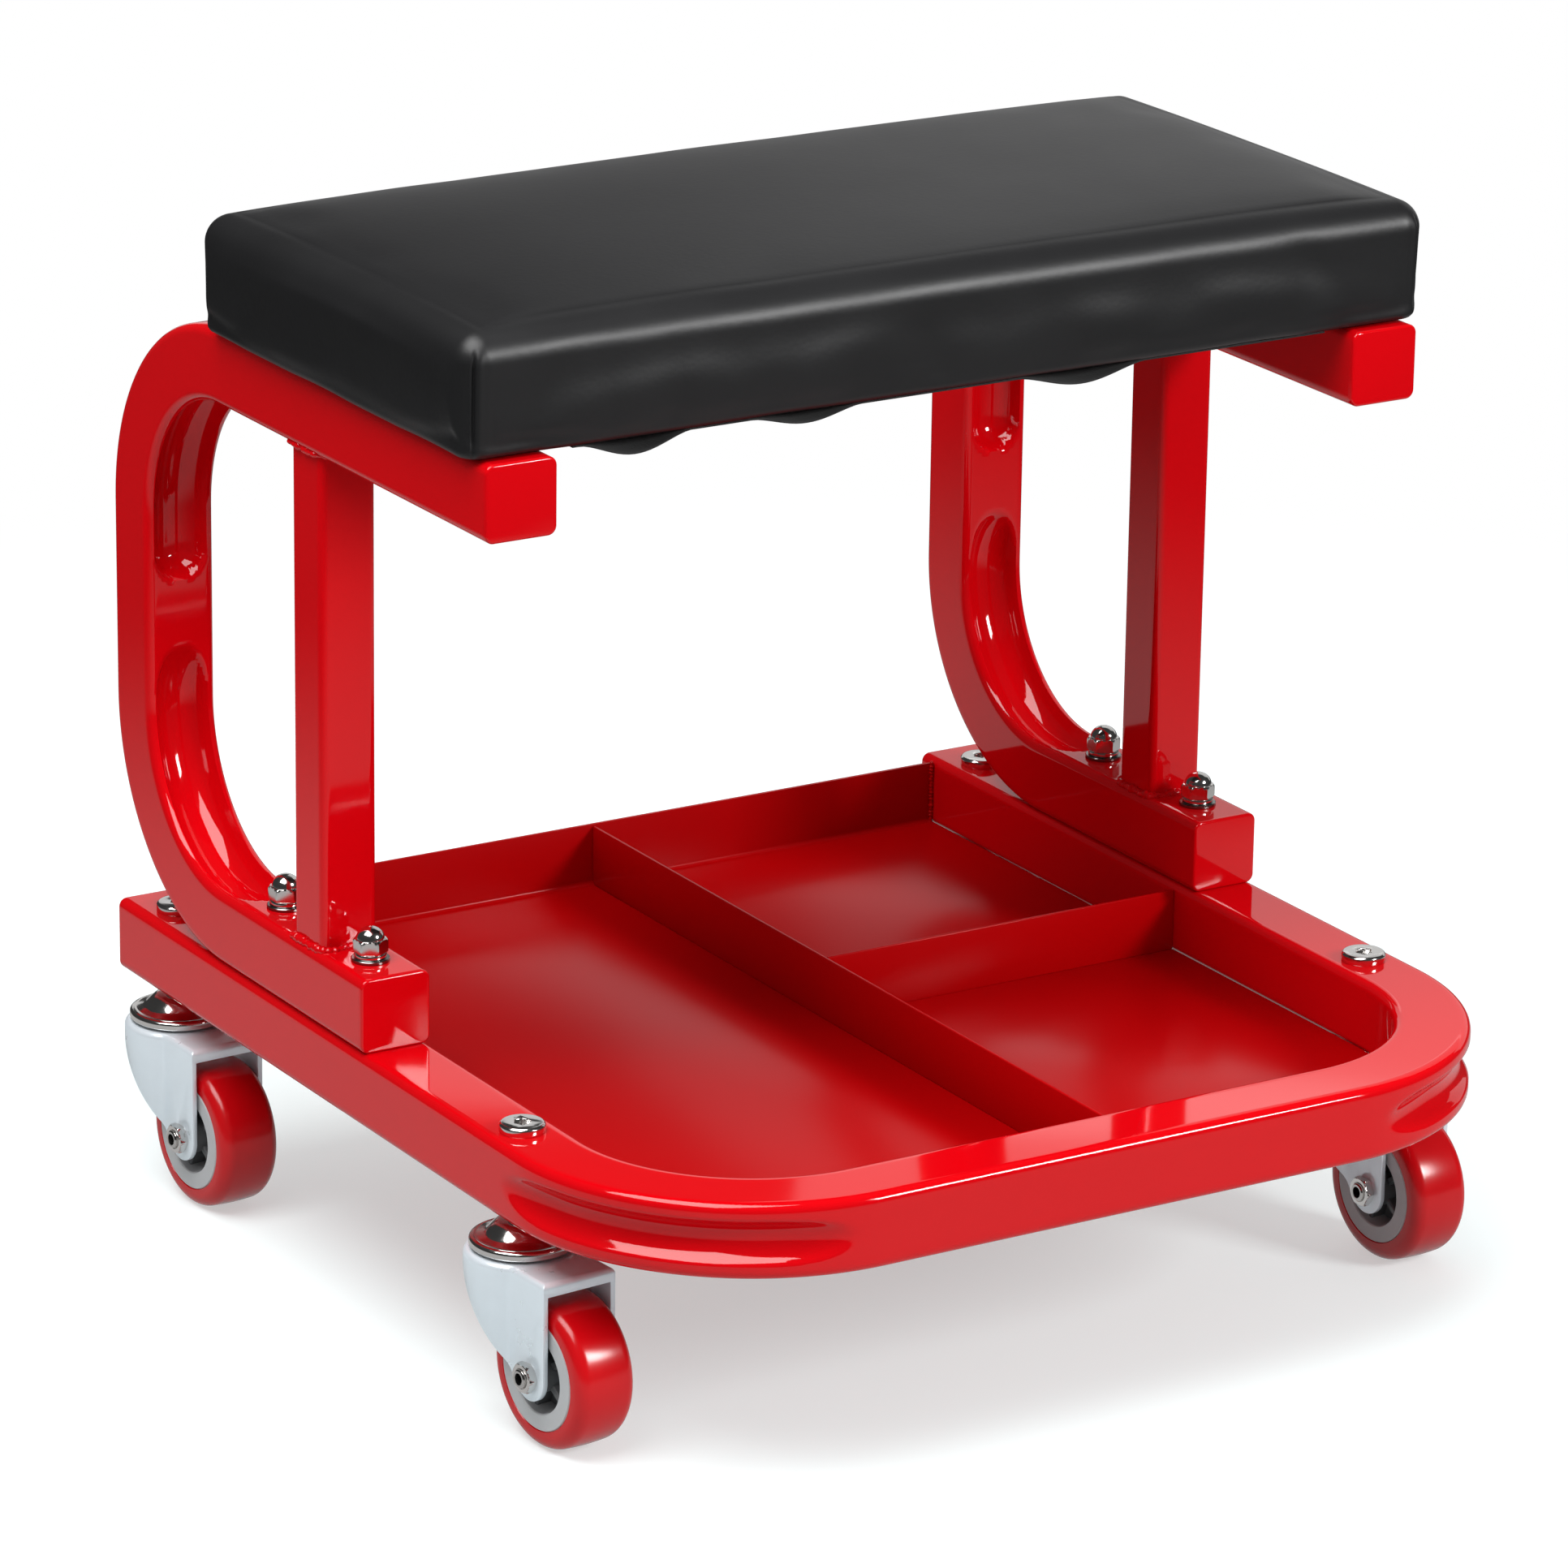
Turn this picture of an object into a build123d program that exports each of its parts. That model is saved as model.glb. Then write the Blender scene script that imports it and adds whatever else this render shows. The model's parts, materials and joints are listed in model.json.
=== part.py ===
from build123d import *
from math import acos, atan2, cos, degrees, hypot, radians, sin
import os

# A rolling workshop stool: a padded seat on two bent side frames, a base rail with a tool tray, four casters
# Lengths are in millimetres: +X runs along the seat, +Y to the open back of the base, +Z up.
# The origin is on the floor, under the middle of the base.

# Square steel tube of the base rail and the side frames
tube_side = 25.0
tube_wall = 1.5
tube_corner = 3.0
tube_cap_thickness = 2.0

# Base rail, a U that is open at the back
base_width = 345.0
base_length = 354.5
base_bend_radius = 84.0

# Groove pressed into the outer wall of the two front corners
groove_width = 14.0
groove_depth = 4.6
groove_side_fade_radius = 260.0
groove_front_fade_radius = 400.0

# Side frames, each a C seen from the side
frame_height = 216.0
lower_leg_reach = 172.5
upper_leg_reach = 252.8
frame_bend_radius = 75.0

# Channel pressed into the inner wall of each bend
channel_width = 18.4
channel_depth = 8.0
channel_leg_run = 13.0
channel_back_run = 24.0
channel_fade_radius = 26.0
channel_fade_angle = 50.0

# Upright strut between the two legs of a side frame
strut_side = 20.0
strut_wall = 1.5
strut_corner = 2.5
strut_setback = 30.5
weld_leg = 2.4

# Tool tray
sheet_thickness = 1.2
sheet_bend_radius = 1.5
sheet_gap = 0.2
pan_lift = 0.5
pan_back_setback = 6.5
pan_back_drop = 1.4
divider_drop = 2.0
long_divider_offset = 8.0
cross_divider_offset = 16.0
divider_seam_depth = 0.2
divider_seam_clearance = 0.1

# Bolts that hold the side frames on the base rail
bolt_radius = 3.0
bolt_hole_radius = 3.3
bolt_head_flats = 10.0
bolt_head_height = 4.0
frame_bolt_setback = 17.0
frame_bolt_spacing = 58.0
flat_washer_radius = 6.25
flat_washer_thickness = 1.2
spring_washer_radius = 5.3
spring_washer_thickness = 1.6
spring_washer_split = 1.2
cap_nut_flats = 10.0
cap_nut_hex_height = 4.6
cap_nut_height = 8.6
cap_nut_thread_depth = 6.6
thread_clearance = 0.05

# Sleeve nuts that hold the casters in the base rail
sleeve_radius = 5.0
sleeve_clearance = 0.3
sleeve_head_radius = 7.35
sleeve_head_height = 3.0
sleeve_head_bevel = 0.7
socket_flats = 5.0
socket_depth = 2.6
sleeve_web = 2.0

# Casters
caster_front_setback = 100.0
caster_back_setback = 20.1
caster_trail = 23.5
wheel_radius = 25.0
tyre_width = 21.5
tyre_shoulder_radius = 4.0
hub_ring_radius = 18.3
hub_ring_inner_radius = 12.7
hub_web_thickness = 6.0
hub_boss_radius = 6.0
hub_boss_stand = 0.15
hub_rib_count = 5
hub_rib_width = 2.2
hub_rib_drop = 2.5
bond_gap = 0.05
bush_radius = 4.4
bush_flange_radius = 5.6
bush_flange_thickness = 0.5
axle_radius = 3.0
running_clearance = 0.05
axle_head_flats = 9.0
axle_head_height = 3.0
axle_end_stand = 1.0
fork_plate = 1.8
fork_side_gap = 1.05
fork_disc_radius = 18.5
fork_boss_radius = 8.0
fork_skirt_drop = 5.8
fork_skirt_setback = 9.5
fork_lip_drop = 4.5
fork_bend_radius = 2.0
fork_neck_radius = 4.0
fork_headroom = 6.2
race_radius = 16.8
race_height = 8.0
race_gap = 1.0
race_sheet = 2.0
race_rim_height = 2.6
race_crown_radius = 7.6
collar_height = 4.4
ball_radius = 2.0
ball_pitch_radius = 12.2
ball_count = 14
stem_radius = 4.0
stem_head_radius = 6.5
stem_head_height = 2.6
stem_head_gap = 0.3

# How each caster happens to stand, turned about its stem, in degrees
front_left_turn = 5.0
front_right_turn = 2.0
rear_left_turn = 3.0
rear_right_turn = 2.0

# Padded seat
seat_side_overhang = 6.3
seat_length = base_width + 2 * seat_side_overhang
seat_depth = 178.3
seat_front_setback = 2.0
cushion_edge_height = 39.5
cushion_crown_height = 4.5
cushion_corner_radius = 9.0
cushion_bottom_inset = 1.6
cushion_shoulder_radius = 6.5
cushion_shoulder_angles = (0, 30, 60, 90)
cover_thickness = 1.0
cover_hem_width = 32.0
upholstery_gap = 0.15
board_thickness = 9.0

# Cloth that closes the underside of the seat and hangs a little between its staples
dust_cloth_thickness = 0.5
dust_cloth_setback = 3.0
dust_cloth_side_setback = 8.0
dust_cloth_sag = 5.0
dust_cloth_bulge_shares = [(0.01, 0.15), (0.23, 0.37), (0.58, 0.75)]
staple_column_shares = [0.19, 0.42, 0.53, 0.87]

# Fasteners of the seat, whose bolt heads lie inside the legs, over access holes
seat_bolt_front_setback = 32.0
seat_bolt_back_setback = 36.3
seat_access_radius = 7.0
tee_nut_radius = 4.2
tee_nut_flange_radius = 9.0
tee_nut_flange_thickness = 1.2
tee_nut_clearance = 0.1
staple_setback = 14.0
staple_crown = 10.0
staple_wire = 0.7
staple_leg = 7.0
staple_clearance = 0.1

# One overrun serves all cuts
overrun = 1.0

# Heights, from the floor up
axle_height = wheel_radius
fork_underside = 2 * wheel_radius + fork_headroom
fork_top = fork_underside + fork_plate
race_bottom = fork_top + race_gap
race_top = race_bottom + race_height
rail_bottom = race_top + collar_height
rail_top = rail_bottom + tube_side
rail_axis_height = rail_bottom + tube_side / 2
lower_leg_top = rail_top + tube_side
upper_leg_top = rail_top + frame_height
upper_leg_bottom = upper_leg_top - tube_side
cloth_bottom = upper_leg_top
cushion_bottom = cloth_bottom + dust_cloth_thickness
hem_top = cushion_bottom + cover_thickness
board_top = hem_top + board_thickness
seat_washer_top = upper_leg_top - tube_wall
seat_washer_bottom = seat_washer_top - flat_washer_thickness

# Places in the plan
base_back = base_length / 2
base_front = -base_length / 2
rail_x = (base_width - tube_side) / 2
lower_leg_front = base_back - lower_leg_reach
upper_leg_front = base_back - upper_leg_reach
strut_y = lower_leg_front + strut_setback + strut_side / 2
seat_front = upper_leg_front + seat_front_setback
seat_y = seat_front + seat_depth / 2
frame_bolt_rows = [
    lower_leg_front + frame_bolt_setback,
    lower_leg_front + frame_bolt_setback + frame_bolt_spacing,
]
seat_bolt_rows = [
    seat_front + seat_bolt_front_setback,
    seat_front + seat_depth - seat_bolt_back_setback,
]
caster_front_y = base_front + caster_front_setback
caster_back_y = base_back - caster_back_setback
rail_sides = [-rail_x, rail_x]
frame_bolt_points = [(x, y) for x in rail_sides for y in frame_bolt_rows]
seat_bolt_points = [(x, y) for x in rail_sides for y in seat_bolt_rows]
caster_points = [(x, y) for x in rail_sides for y in (caster_front_y, caster_back_y)]


def save(part, name):
    """Label a finished piece and write it under its own name."""
    part.label = name
    export_step(part, "parts/" + name + ".step")


def cylinders(points, bottom, radius, height):
    """Upright cylinders that stand on one level."""
    with BuildPart() as group:
        with BuildSketch(Plane.XY.offset(bottom)):
            with Locations(*points):
                Circle(radius)
        extrude(amount=height)
    return group.part


def hexagons(points, bottom, flats, height):
    """Upright hexagonal bars that stand on one level."""
    with BuildPart() as group:
        with BuildSketch(Plane.XY.offset(bottom)):
            with Locations(*points):
                RegularPolygon(flats / 2, 6, major_radius=False)
        extrude(amount=height)
    return group.part


def swept_bar(path, start, side, corner):
    """A rounded square bar along a path."""
    with BuildPart() as bar:
        with BuildSketch(start):
            RectangleRounded(side, side, corner)
        sweep(path=path)
    return bar.part


def swept_rod(path, radius, ball_starts, ball_ends):
    """A round rod along a path, with a ball at the ends that are named."""
    start = Plane(origin=path @ 0, z_dir=path % 0)
    with BuildPart() as rod:
        with BuildSketch(start):
            Circle(radius)
        sweep(path=path)
        if ball_starts:
            with Locations(path @ 0):
                Sphere(radius)
        if ball_ends:
            with Locations(path @ 1):
                Sphere(radius)
    return rod.part


def press_radius(width, depth):
    """Radius of the round tool that leaves a channel of this width and depth."""
    return (depth**2 + (width / 2) ** 2) / (2 * depth)


groove_radius = press_radius(groove_width, groove_depth)
channel_radius = press_radius(channel_width, channel_depth)


# Base rail
def corner_groove_path(side):
    """Middle line of the groove round one front corner, fading out along the side and the front."""
    ring = base_bend_radius + groove_radius - groove_depth
    centre_x = side * (base_width / 2 - base_bend_radius)
    centre_y = base_front + base_bend_radius
    side_fade = degrees(acos(1 - 2 * groove_depth / groove_side_fade_radius))
    front_fade = degrees(acos(1 - 2 * groove_depth / groove_front_fade_radius))
    with BuildLine(Plane.XY.offset(rail_axis_height)) as path:
        corner = CenterArc((centre_x, centre_y), ring, 180 if side < 0 else 270, 90)
        side_end = (centre_x + side * ring, centre_y)
        front_end = (centre_x, centre_y - ring)
        side_centre = (side_end[0] + side * groove_side_fade_radius, side_end[1])
        front_centre = (front_end[0], front_end[1] - groove_front_fade_radius)
        if side < 0:
            CenterArc(side_centre, groove_side_fade_radius, 0, side_fade)
            CenterArc(front_centre, groove_front_fade_radius, 90, -front_fade)
        else:
            CenterArc(side_centre, groove_side_fade_radius, 180, -side_fade)
            CenterArc(front_centre, groove_front_fade_radius, 90, front_fade)
    return path.wires()[0]


with BuildLine(Plane.XY.offset(rail_axis_height)) as rail_path:
    FilletPolyline(
        (-rail_x, base_back - tube_cap_thickness),
        (-rail_x, base_front + tube_side / 2),
        (rail_x, base_front + tube_side / 2),
        (rail_x, base_back - tube_cap_thickness),
        radius=base_bend_radius - tube_side / 2,
    )
rail_start = Plane(
    origin=(-rail_x, base_back - tube_cap_thickness, rail_axis_height), x_dir=(1, 0, 0), z_dir=(0, -1, 0)
)
groove_paths = [corner_groove_path(side) for side in (-1, 1)]

with BuildPart() as rail_void:
    add(swept_bar(rail_path.wires()[0], rail_start, tube_side - 2 * tube_wall, tube_corner - tube_wall))
    for groove_path in groove_paths:
        add(swept_rod(groove_path, groove_radius + tube_wall, False, False), mode=Mode.SUBTRACT)

with BuildPart() as base_frame:
    add(swept_bar(rail_path.wires()[0], rail_start, tube_side, tube_corner))
    for groove_path in groove_paths:
        add(swept_rod(groove_path, groove_radius, False, False), mode=Mode.SUBTRACT)
    add(rail_void.part, mode=Mode.SUBTRACT)
    through = tube_side + 2 * overrun
    caster_holes = cylinders(caster_points, rail_bottom - overrun, sleeve_radius + sleeve_clearance, through)
    bolt_holes = cylinders(frame_bolt_points, rail_bottom - overrun, bolt_hole_radius, through)
    add(caster_holes, mode=Mode.SUBTRACT)
    add(bolt_holes, mode=Mode.SUBTRACT)
save(base_frame.part, "base_frame")


def tube_caps(places):
    """Flush plates that close tube ends, each place given as x, height and front face."""
    with BuildPart() as caps:
        for x, height, front in places:
            with BuildSketch(Plane(origin=(x, front, height), x_dir=(1, 0, 0), z_dir=(0, 1, 0))):
                RectangleRounded(tube_side, tube_side, tube_corner)
            extrude(amount=tube_cap_thickness)
    return caps.part


rail_cap_places = [(x, rail_axis_height, base_back - tube_cap_thickness) for x in rail_sides]
save(tube_caps(rail_cap_places), "base_end_caps")


# Side frames
lower_axis = rail_top + tube_side / 2
upper_axis = upper_leg_top - tube_side / 2
back_axis = base_back - tube_side / 2
bend_centre_y = base_back - frame_bend_radius
lower_bend_z = rail_top + frame_bend_radius
upper_bend_z = upper_leg_top - frame_bend_radius
channel_ring = frame_bend_radius - tube_side - channel_radius + channel_depth


def upper_channel_path():
    """Middle line of the channel in the upper bend, a rounded end on each leg."""
    with BuildLine(Plane.YZ) as path:
        Line(
            (bend_centre_y - channel_leg_run + channel_radius, upper_bend_z + channel_ring),
            (bend_centre_y, upper_bend_z + channel_ring),
        )
        CenterArc((bend_centre_y, upper_bend_z), channel_ring, 90, -90)
        Line(
            (bend_centre_y + channel_ring, upper_bend_z),
            (bend_centre_y + channel_ring, upper_bend_z - channel_back_run + channel_radius),
        )
    return path.wires()[0]


def lower_channel_path():
    """Middle line of the channel in the lower bend: it fades in on the back and ends round on the leg."""
    with BuildLine(Plane.YZ) as path:
        Line(
            (bend_centre_y - channel_leg_run + channel_radius, lower_bend_z - channel_ring),
            (bend_centre_y, lower_bend_z - channel_ring),
        )
        CenterArc((bend_centre_y, lower_bend_z), channel_ring, 270, 90)
        fade_centre = (bend_centre_y + channel_ring - channel_fade_radius, lower_bend_z)
        CenterArc(fade_centre, channel_fade_radius, 0, channel_fade_angle)
    return path.wires()[0]


def side_frame():
    """A bent side frame in the middle plane, with its channels, bolt holes and the seat bolts' holes."""
    lower_end = lower_leg_front + tube_cap_thickness
    upper_end = upper_leg_front + tube_cap_thickness
    with BuildLine(Plane.YZ) as path:
        FilletPolyline(
            (lower_end, lower_axis),
            (back_axis, lower_axis),
            (back_axis, upper_axis),
            (upper_end, upper_axis),
            radius=frame_bend_radius - tube_side / 2,
        )
    spine = path.wires()[0]
    start = Plane(origin=(0, lower_end, lower_axis), x_dir=(1, 0, 0), z_dir=(0, 1, 0))
    upper_channel = upper_channel_path()
    lower_channel = lower_channel_path()
    leg_points = [(0, y) for y in frame_bolt_rows]
    seat_points = [(0, y) for y in seat_bolt_rows]
    through = tube_side + 2 * overrun
    access_bottom = upper_leg_bottom - overrun
    with BuildPart() as void:
        add(swept_bar(spine, start, tube_side - 2 * tube_wall, tube_corner - tube_wall))
        add(swept_rod(upper_channel, channel_radius + tube_wall, True, True), mode=Mode.SUBTRACT)
        add(swept_rod(lower_channel, channel_radius + tube_wall, True, False), mode=Mode.SUBTRACT)
    with BuildPart() as frame:
        add(swept_bar(spine, start, tube_side, tube_corner))
        add(swept_rod(upper_channel, channel_radius, True, True), mode=Mode.SUBTRACT)
        add(swept_rod(lower_channel, channel_radius, True, False), mode=Mode.SUBTRACT)
        add(void.part, mode=Mode.SUBTRACT)
        leg_holes = cylinders(leg_points, rail_top - overrun, bolt_hole_radius, through)
        seat_holes = cylinders(seat_points, access_bottom, bolt_hole_radius, through)
        access_run = seat_washer_bottom - access_bottom
        access_holes = cylinders(seat_points, access_bottom, seat_access_radius, access_run)
        add(leg_holes, mode=Mode.SUBTRACT)
        add(seat_holes, mode=Mode.SUBTRACT)
        add(access_holes, mode=Mode.SUBTRACT)
    return frame.part


middle_frame = side_frame()
save(Pos(X=-rail_x) * middle_frame, "left_side_frame")
save(Pos(X=rail_x) * middle_frame, "right_side_frame")

end_plate_places = [(x, lower_axis, lower_leg_front) for x in rail_sides]
end_plate_places += [(x, upper_axis, upper_leg_front) for x in rail_sides]
save(tube_caps(end_plate_places), "side_frame_end_plates")


def strut(x):
    """Upright strut between the legs of one side frame."""
    with BuildPart() as upright:
        with BuildSketch(Plane(origin=(x, strut_y, lower_leg_top))):
            RectangleRounded(strut_side, strut_side, strut_corner)
            inside = strut_side - 2 * strut_wall
            RectangleRounded(inside, inside, strut_corner - strut_wall, mode=Mode.SUBTRACT)
        extrude(amount=upper_leg_bottom - lower_leg_top)
    return upright.part


save(strut(-rail_x), "left_strut")
save(strut(rail_x), "right_strut")

with BuildPart() as strut_welds:
    weld_side = strut_side + 2 * weld_leg
    for x in rail_sides:
        foot = Plane(origin=(x, strut_y, lower_leg_top))
        head = Plane(origin=(x, strut_y, upper_leg_bottom), z_dir=(0, 0, -1))
        for seam in (foot, head):
            with BuildSketch(seam):
                RectangleRounded(weld_side, weld_side, strut_corner)
            extrude(amount=weld_leg, taper=45)
            with BuildSketch(seam):
                RectangleRounded(strut_side, strut_side, strut_corner)
            extrude(amount=weld_leg, mode=Mode.SUBTRACT)
save(strut_welds.part, "strut_welds")

# Tool tray
pan_half_width = base_width / 2 - tube_side - sheet_gap
pan_front = base_front + tube_side + sheet_gap
pan_back = base_back - pan_back_setback
pan_floor = rail_bottom + pan_lift + sheet_thickness
pan_back_top = rail_top - pan_back_drop
divider_top = rail_top - divider_drop
divider_foot = pan_floor - divider_seam_depth
long_divider_low = (long_divider_offset - sheet_thickness / 2, pan_front)
long_divider_high = (long_divider_offset + sheet_thickness / 2, pan_back - sheet_thickness - sheet_gap)
cross_divider_low = (long_divider_high[0] + sheet_gap, cross_divider_offset - sheet_thickness / 2)
cross_divider_high = (pan_half_width, cross_divider_offset + sheet_thickness / 2)


def upright_block(low, high, bottom, top):
    """An upright block, given by two opposite corners of its plan and two heights."""
    width, length = high[0] - low[0], high[1] - low[1]
    middle = ((low[0] + high[0]) / 2, (low[1] + high[1]) / 2, bottom)
    with BuildPart() as block:
        with BuildSketch(Plane(origin=middle)):
            Rectangle(width, length)
        extrude(amount=top - bottom)
    return block.part


# Shallow seams pressed into the floor, which the dividers stand in
long_seam_low = (long_divider_low[0] - divider_seam_clearance, pan_front - overrun)
long_seam_back = pan_back - sheet_thickness - sheet_bend_radius + divider_seam_clearance
long_seam_high = (long_divider_high[0] + divider_seam_clearance, long_seam_back)
cross_seam_low = (long_divider_offset, cross_divider_low[1] - divider_seam_clearance)
cross_seam_high = (pan_half_width + overrun, cross_divider_high[1] + divider_seam_clearance)

with BuildPart() as tray_pan:
    with BuildSketch(Plane.YZ) as pan_profile:
        with BuildLine():
            Polyline(
                (pan_front, pan_floor - sheet_thickness),
                (pan_back, pan_floor - sheet_thickness),
                (pan_back, pan_back_top),
                (pan_back - sheet_thickness, pan_back_top),
                (pan_back - sheet_thickness, pan_floor),
                (pan_front, pan_floor),
                close=True,
            )
        make_face()
        corners = pan_profile.vertices().sort_by(Axis.X)
        fillet(corners.group_by(Axis.X)[-1].sort_by(Axis.Y)[0], sheet_bend_radius + sheet_thickness)
        inner_corner = (pan_back - sheet_thickness, pan_floor, 0)
        fillet(pan_profile.vertices().sort_by_distance(inner_corner)[0], sheet_bend_radius)
    extrude(amount=pan_half_width, both=True)
    front_edges = tray_pan.edges().filter_by(Axis.Z).group_by(Axis.Y)[0]
    fillet(front_edges, base_bend_radius - tube_side - sheet_gap)
    long_seam = upright_block(long_seam_low, long_seam_high, divider_foot, pan_floor + overrun)
    cross_seam = upright_block(cross_seam_low, cross_seam_high, divider_foot, pan_floor + overrun)
    add(long_seam, mode=Mode.SUBTRACT)
    add(cross_seam, mode=Mode.SUBTRACT)
save(tray_pan.part, "tray_pan")

with BuildPart() as tray_long_divider:
    add(upright_block(long_divider_low, long_divider_high, divider_foot, divider_top))
    foot_edge = tray_long_divider.edges().filter_by(Axis.X).group_by(Axis.Z)[0].sort_by(Axis.Y)[-1]
    chamfer(foot_edge, sheet_bend_radius + sheet_gap)
save(tray_long_divider.part, "tray_long_divider")
cross_divider = upright_block(cross_divider_low, cross_divider_high, divider_foot, divider_top)
save(cross_divider, "tray_cross_divider")


# Fasteners of the side frames
spring_seat = lower_leg_top + flat_washer_thickness
nut_seat = spring_seat + spring_washer_thickness
frame_bolt_end = nut_seat + cap_nut_thread_depth - thread_clearance

with BuildPart() as side_frame_bolts:
    add(hexagons(frame_bolt_points, rail_bottom - bolt_head_height, bolt_head_flats, bolt_head_height))
    add(cylinders(frame_bolt_points, rail_bottom, bolt_radius, frame_bolt_end - rail_bottom))
save(side_frame_bolts.part, "side_frame_bolts")

with BuildPart() as side_frame_washers:
    with BuildSketch(Plane.XY.offset(lower_leg_top)):
        with Locations(*frame_bolt_points):
            Circle(flat_washer_radius)
            Circle(bolt_hole_radius, mode=Mode.SUBTRACT)
    extrude(amount=flat_washer_thickness)
save(side_frame_washers.part, "side_frame_washers")

with BuildPart() as side_frame_spring_washers:
    with BuildSketch(Plane.XY.offset(spring_seat)):
        with Locations(*frame_bolt_points):
            Circle(spring_washer_radius)
            Circle(bolt_hole_radius, mode=Mode.SUBTRACT)
            split_side = (Align.MIN, Align.CENTER)
            Rectangle(spring_washer_radius, spring_washer_split, align=split_side, mode=Mode.SUBTRACT)
    extrude(amount=spring_washer_thickness)
save(side_frame_spring_washers.part, "side_frame_spring_washers")

with BuildPart() as side_frame_cap_nuts:
    add(hexagons(frame_bolt_points, nut_seat, cap_nut_flats, cap_nut_hex_height))
    dome_radius = cap_nut_flats / 2
    dome_centre = nut_seat + cap_nut_height - dome_radius
    for x, y in frame_bolt_points:
        with Locations((x, y, dome_centre)):
            Sphere(dome_radius)
    below = cylinders(frame_bolt_points, nut_seat - 2 * dome_radius, 2 * dome_radius, 2 * dome_radius)
    add(below, mode=Mode.SUBTRACT)
    thread = cylinders(frame_bolt_points, nut_seat, bolt_radius + thread_clearance, cap_nut_thread_depth)
    add(thread, mode=Mode.SUBTRACT)
save(side_frame_cap_nuts.part, "side_frame_cap_nuts")

# Sleeve nuts of the casters: a flat head on the rail, a sleeve through it down to the caster
sleeve_bore_top = rail_top + sleeve_head_height - socket_depth - sleeve_web
stem_bore = stem_radius + thread_clearance
with BuildPart() as caster_sleeve_nuts:
    add(cylinders(caster_points, race_top, sleeve_radius, rail_top - race_top))
    with BuildSketch(Plane.XY.offset(rail_top)):
        with Locations(*caster_points):
            Circle(sleeve_head_radius)
    extrude(amount=sleeve_head_height)
    rims = caster_sleeve_nuts.edges().filter_by(GeomType.CIRCLE).group_by(Axis.Z)[-1]
    chamfer(rims, sleeve_head_bevel)
    socket_bottom = rail_top + sleeve_head_height - socket_depth
    add(hexagons(caster_points, socket_bottom, socket_flats, socket_depth + overrun), mode=Mode.SUBTRACT)
    add(cylinders(caster_points, race_top, stem_bore, sleeve_bore_top - race_top), mode=Mode.SUBTRACT)
save(caster_sleeve_nuts.part, "caster_sleeve_nuts")


# Casters
fork_half_width = tyre_width / 2 + fork_side_gap + fork_plate
fork_inner_half = fork_half_width - fork_plate
fork_front = -caster_trail - fork_boss_radius
ball_top = fork_top + 2 * ball_radius
ball_lift = running_clearance


def fork_plan(plane, shrink):
    """Plan of the fork: a disc round the stem and a straight neck to the front, shrunk by a wall."""
    with BuildSketch(plane) as plan:
        Circle(fork_disc_radius - shrink)
        with Locations((0, (fork_front + shrink) / 2)):
            Rectangle(2 * (fork_half_width - shrink), -fork_front - shrink)
        waists = plan.vertices().filter_by(lambda corner: 0 > corner.Y > fork_front / 2)
        fillet(waists, fork_neck_radius + shrink)
    return plan.sketch


def fork_side(plane):
    """Side view of the fork: upright front edge, round boss at the axle, sloping back edge, shallow skirt."""
    skirt_bottom = fork_top - fork_skirt_drop
    corner = (fork_skirt_setback, skirt_bottom)
    run, rise = corner[0] + caster_trail, corner[1] - axle_height
    angle = atan2(rise, run) - acos(fork_boss_radius / hypot(run, rise))
    touch = (-caster_trail + fork_boss_radius * cos(angle), axle_height + fork_boss_radius * sin(angle))
    with BuildSketch(plane) as side:
        with BuildLine():
            Polyline(
                (fork_front, axle_height),
                (fork_front, fork_top + overrun),
                (fork_disc_radius + overrun, fork_top + overrun),
                (fork_disc_radius + overrun, skirt_bottom),
                corner,
                touch,
                (-caster_trail, axle_height),
                close=True,
            )
        make_face()
        with Locations((-caster_trail, axle_height)):
            Circle(fork_boss_radius)
    return side.sketch


def axle_plane(swivel, offset):
    """Plane square to the axle of a caster, its origin on the axle, at an offset along it."""
    centre = swivel.from_local_coords((offset, -caster_trail, axle_height))
    return Plane(origin=centre, x_dir=swivel.y_dir, z_dir=swivel.x_dir)


def side_plane(swivel, offset):
    """Plane square to the axle of a caster, its origin on the floor under the stem."""
    return Plane(origin=swivel.from_local_coords((offset, 0, 0)), x_dir=swivel.y_dir, z_dir=swivel.x_dir)


def caster_fork(swivel):
    """Pressed steel fork: skirted disc, two cheeks, a front lip, a stem hole and two axle holes."""
    foot = axle_height - fork_boss_radius
    with BuildPart() as fork:
        extrude(fork_plan(swivel.offset(foot), 0), amount=fork_top - foot)
        top_edges = fork.edges().group_by(Axis.Z)[-1]
        fillet(top_edges, fork_bend_radius)
        inside = fork_plan(swivel.offset(foot), fork_plate)
        extrude(inside, amount=fork_underside - foot, mode=Mode.SUBTRACT)
        cheek_view = fork_side(side_plane(swivel, 0))
        extrude(cheek_view, amount=fork_disc_radius + overrun, both=True, mode=Mode.INTERSECT)
        mouth_height = fork_top - fork_lip_drop - foot
        with BuildSketch(swivel.offset(foot)):
            with Locations((0, fork_front)):
                Rectangle(2 * fork_inner_half, 2 * fork_plate + overrun)
        extrude(amount=mouth_height, mode=Mode.SUBTRACT)
        with BuildSketch(swivel.offset(fork_underside)):
            Circle(stem_radius + running_clearance)
        extrude(amount=fork_plate + overrun, mode=Mode.SUBTRACT)
        with BuildSketch(axle_plane(swivel, 0)):
            Circle(axle_radius + running_clearance)
        extrude(amount=fork_half_width + overrun, both=True, mode=Mode.SUBTRACT)
    return fork.part


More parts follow.
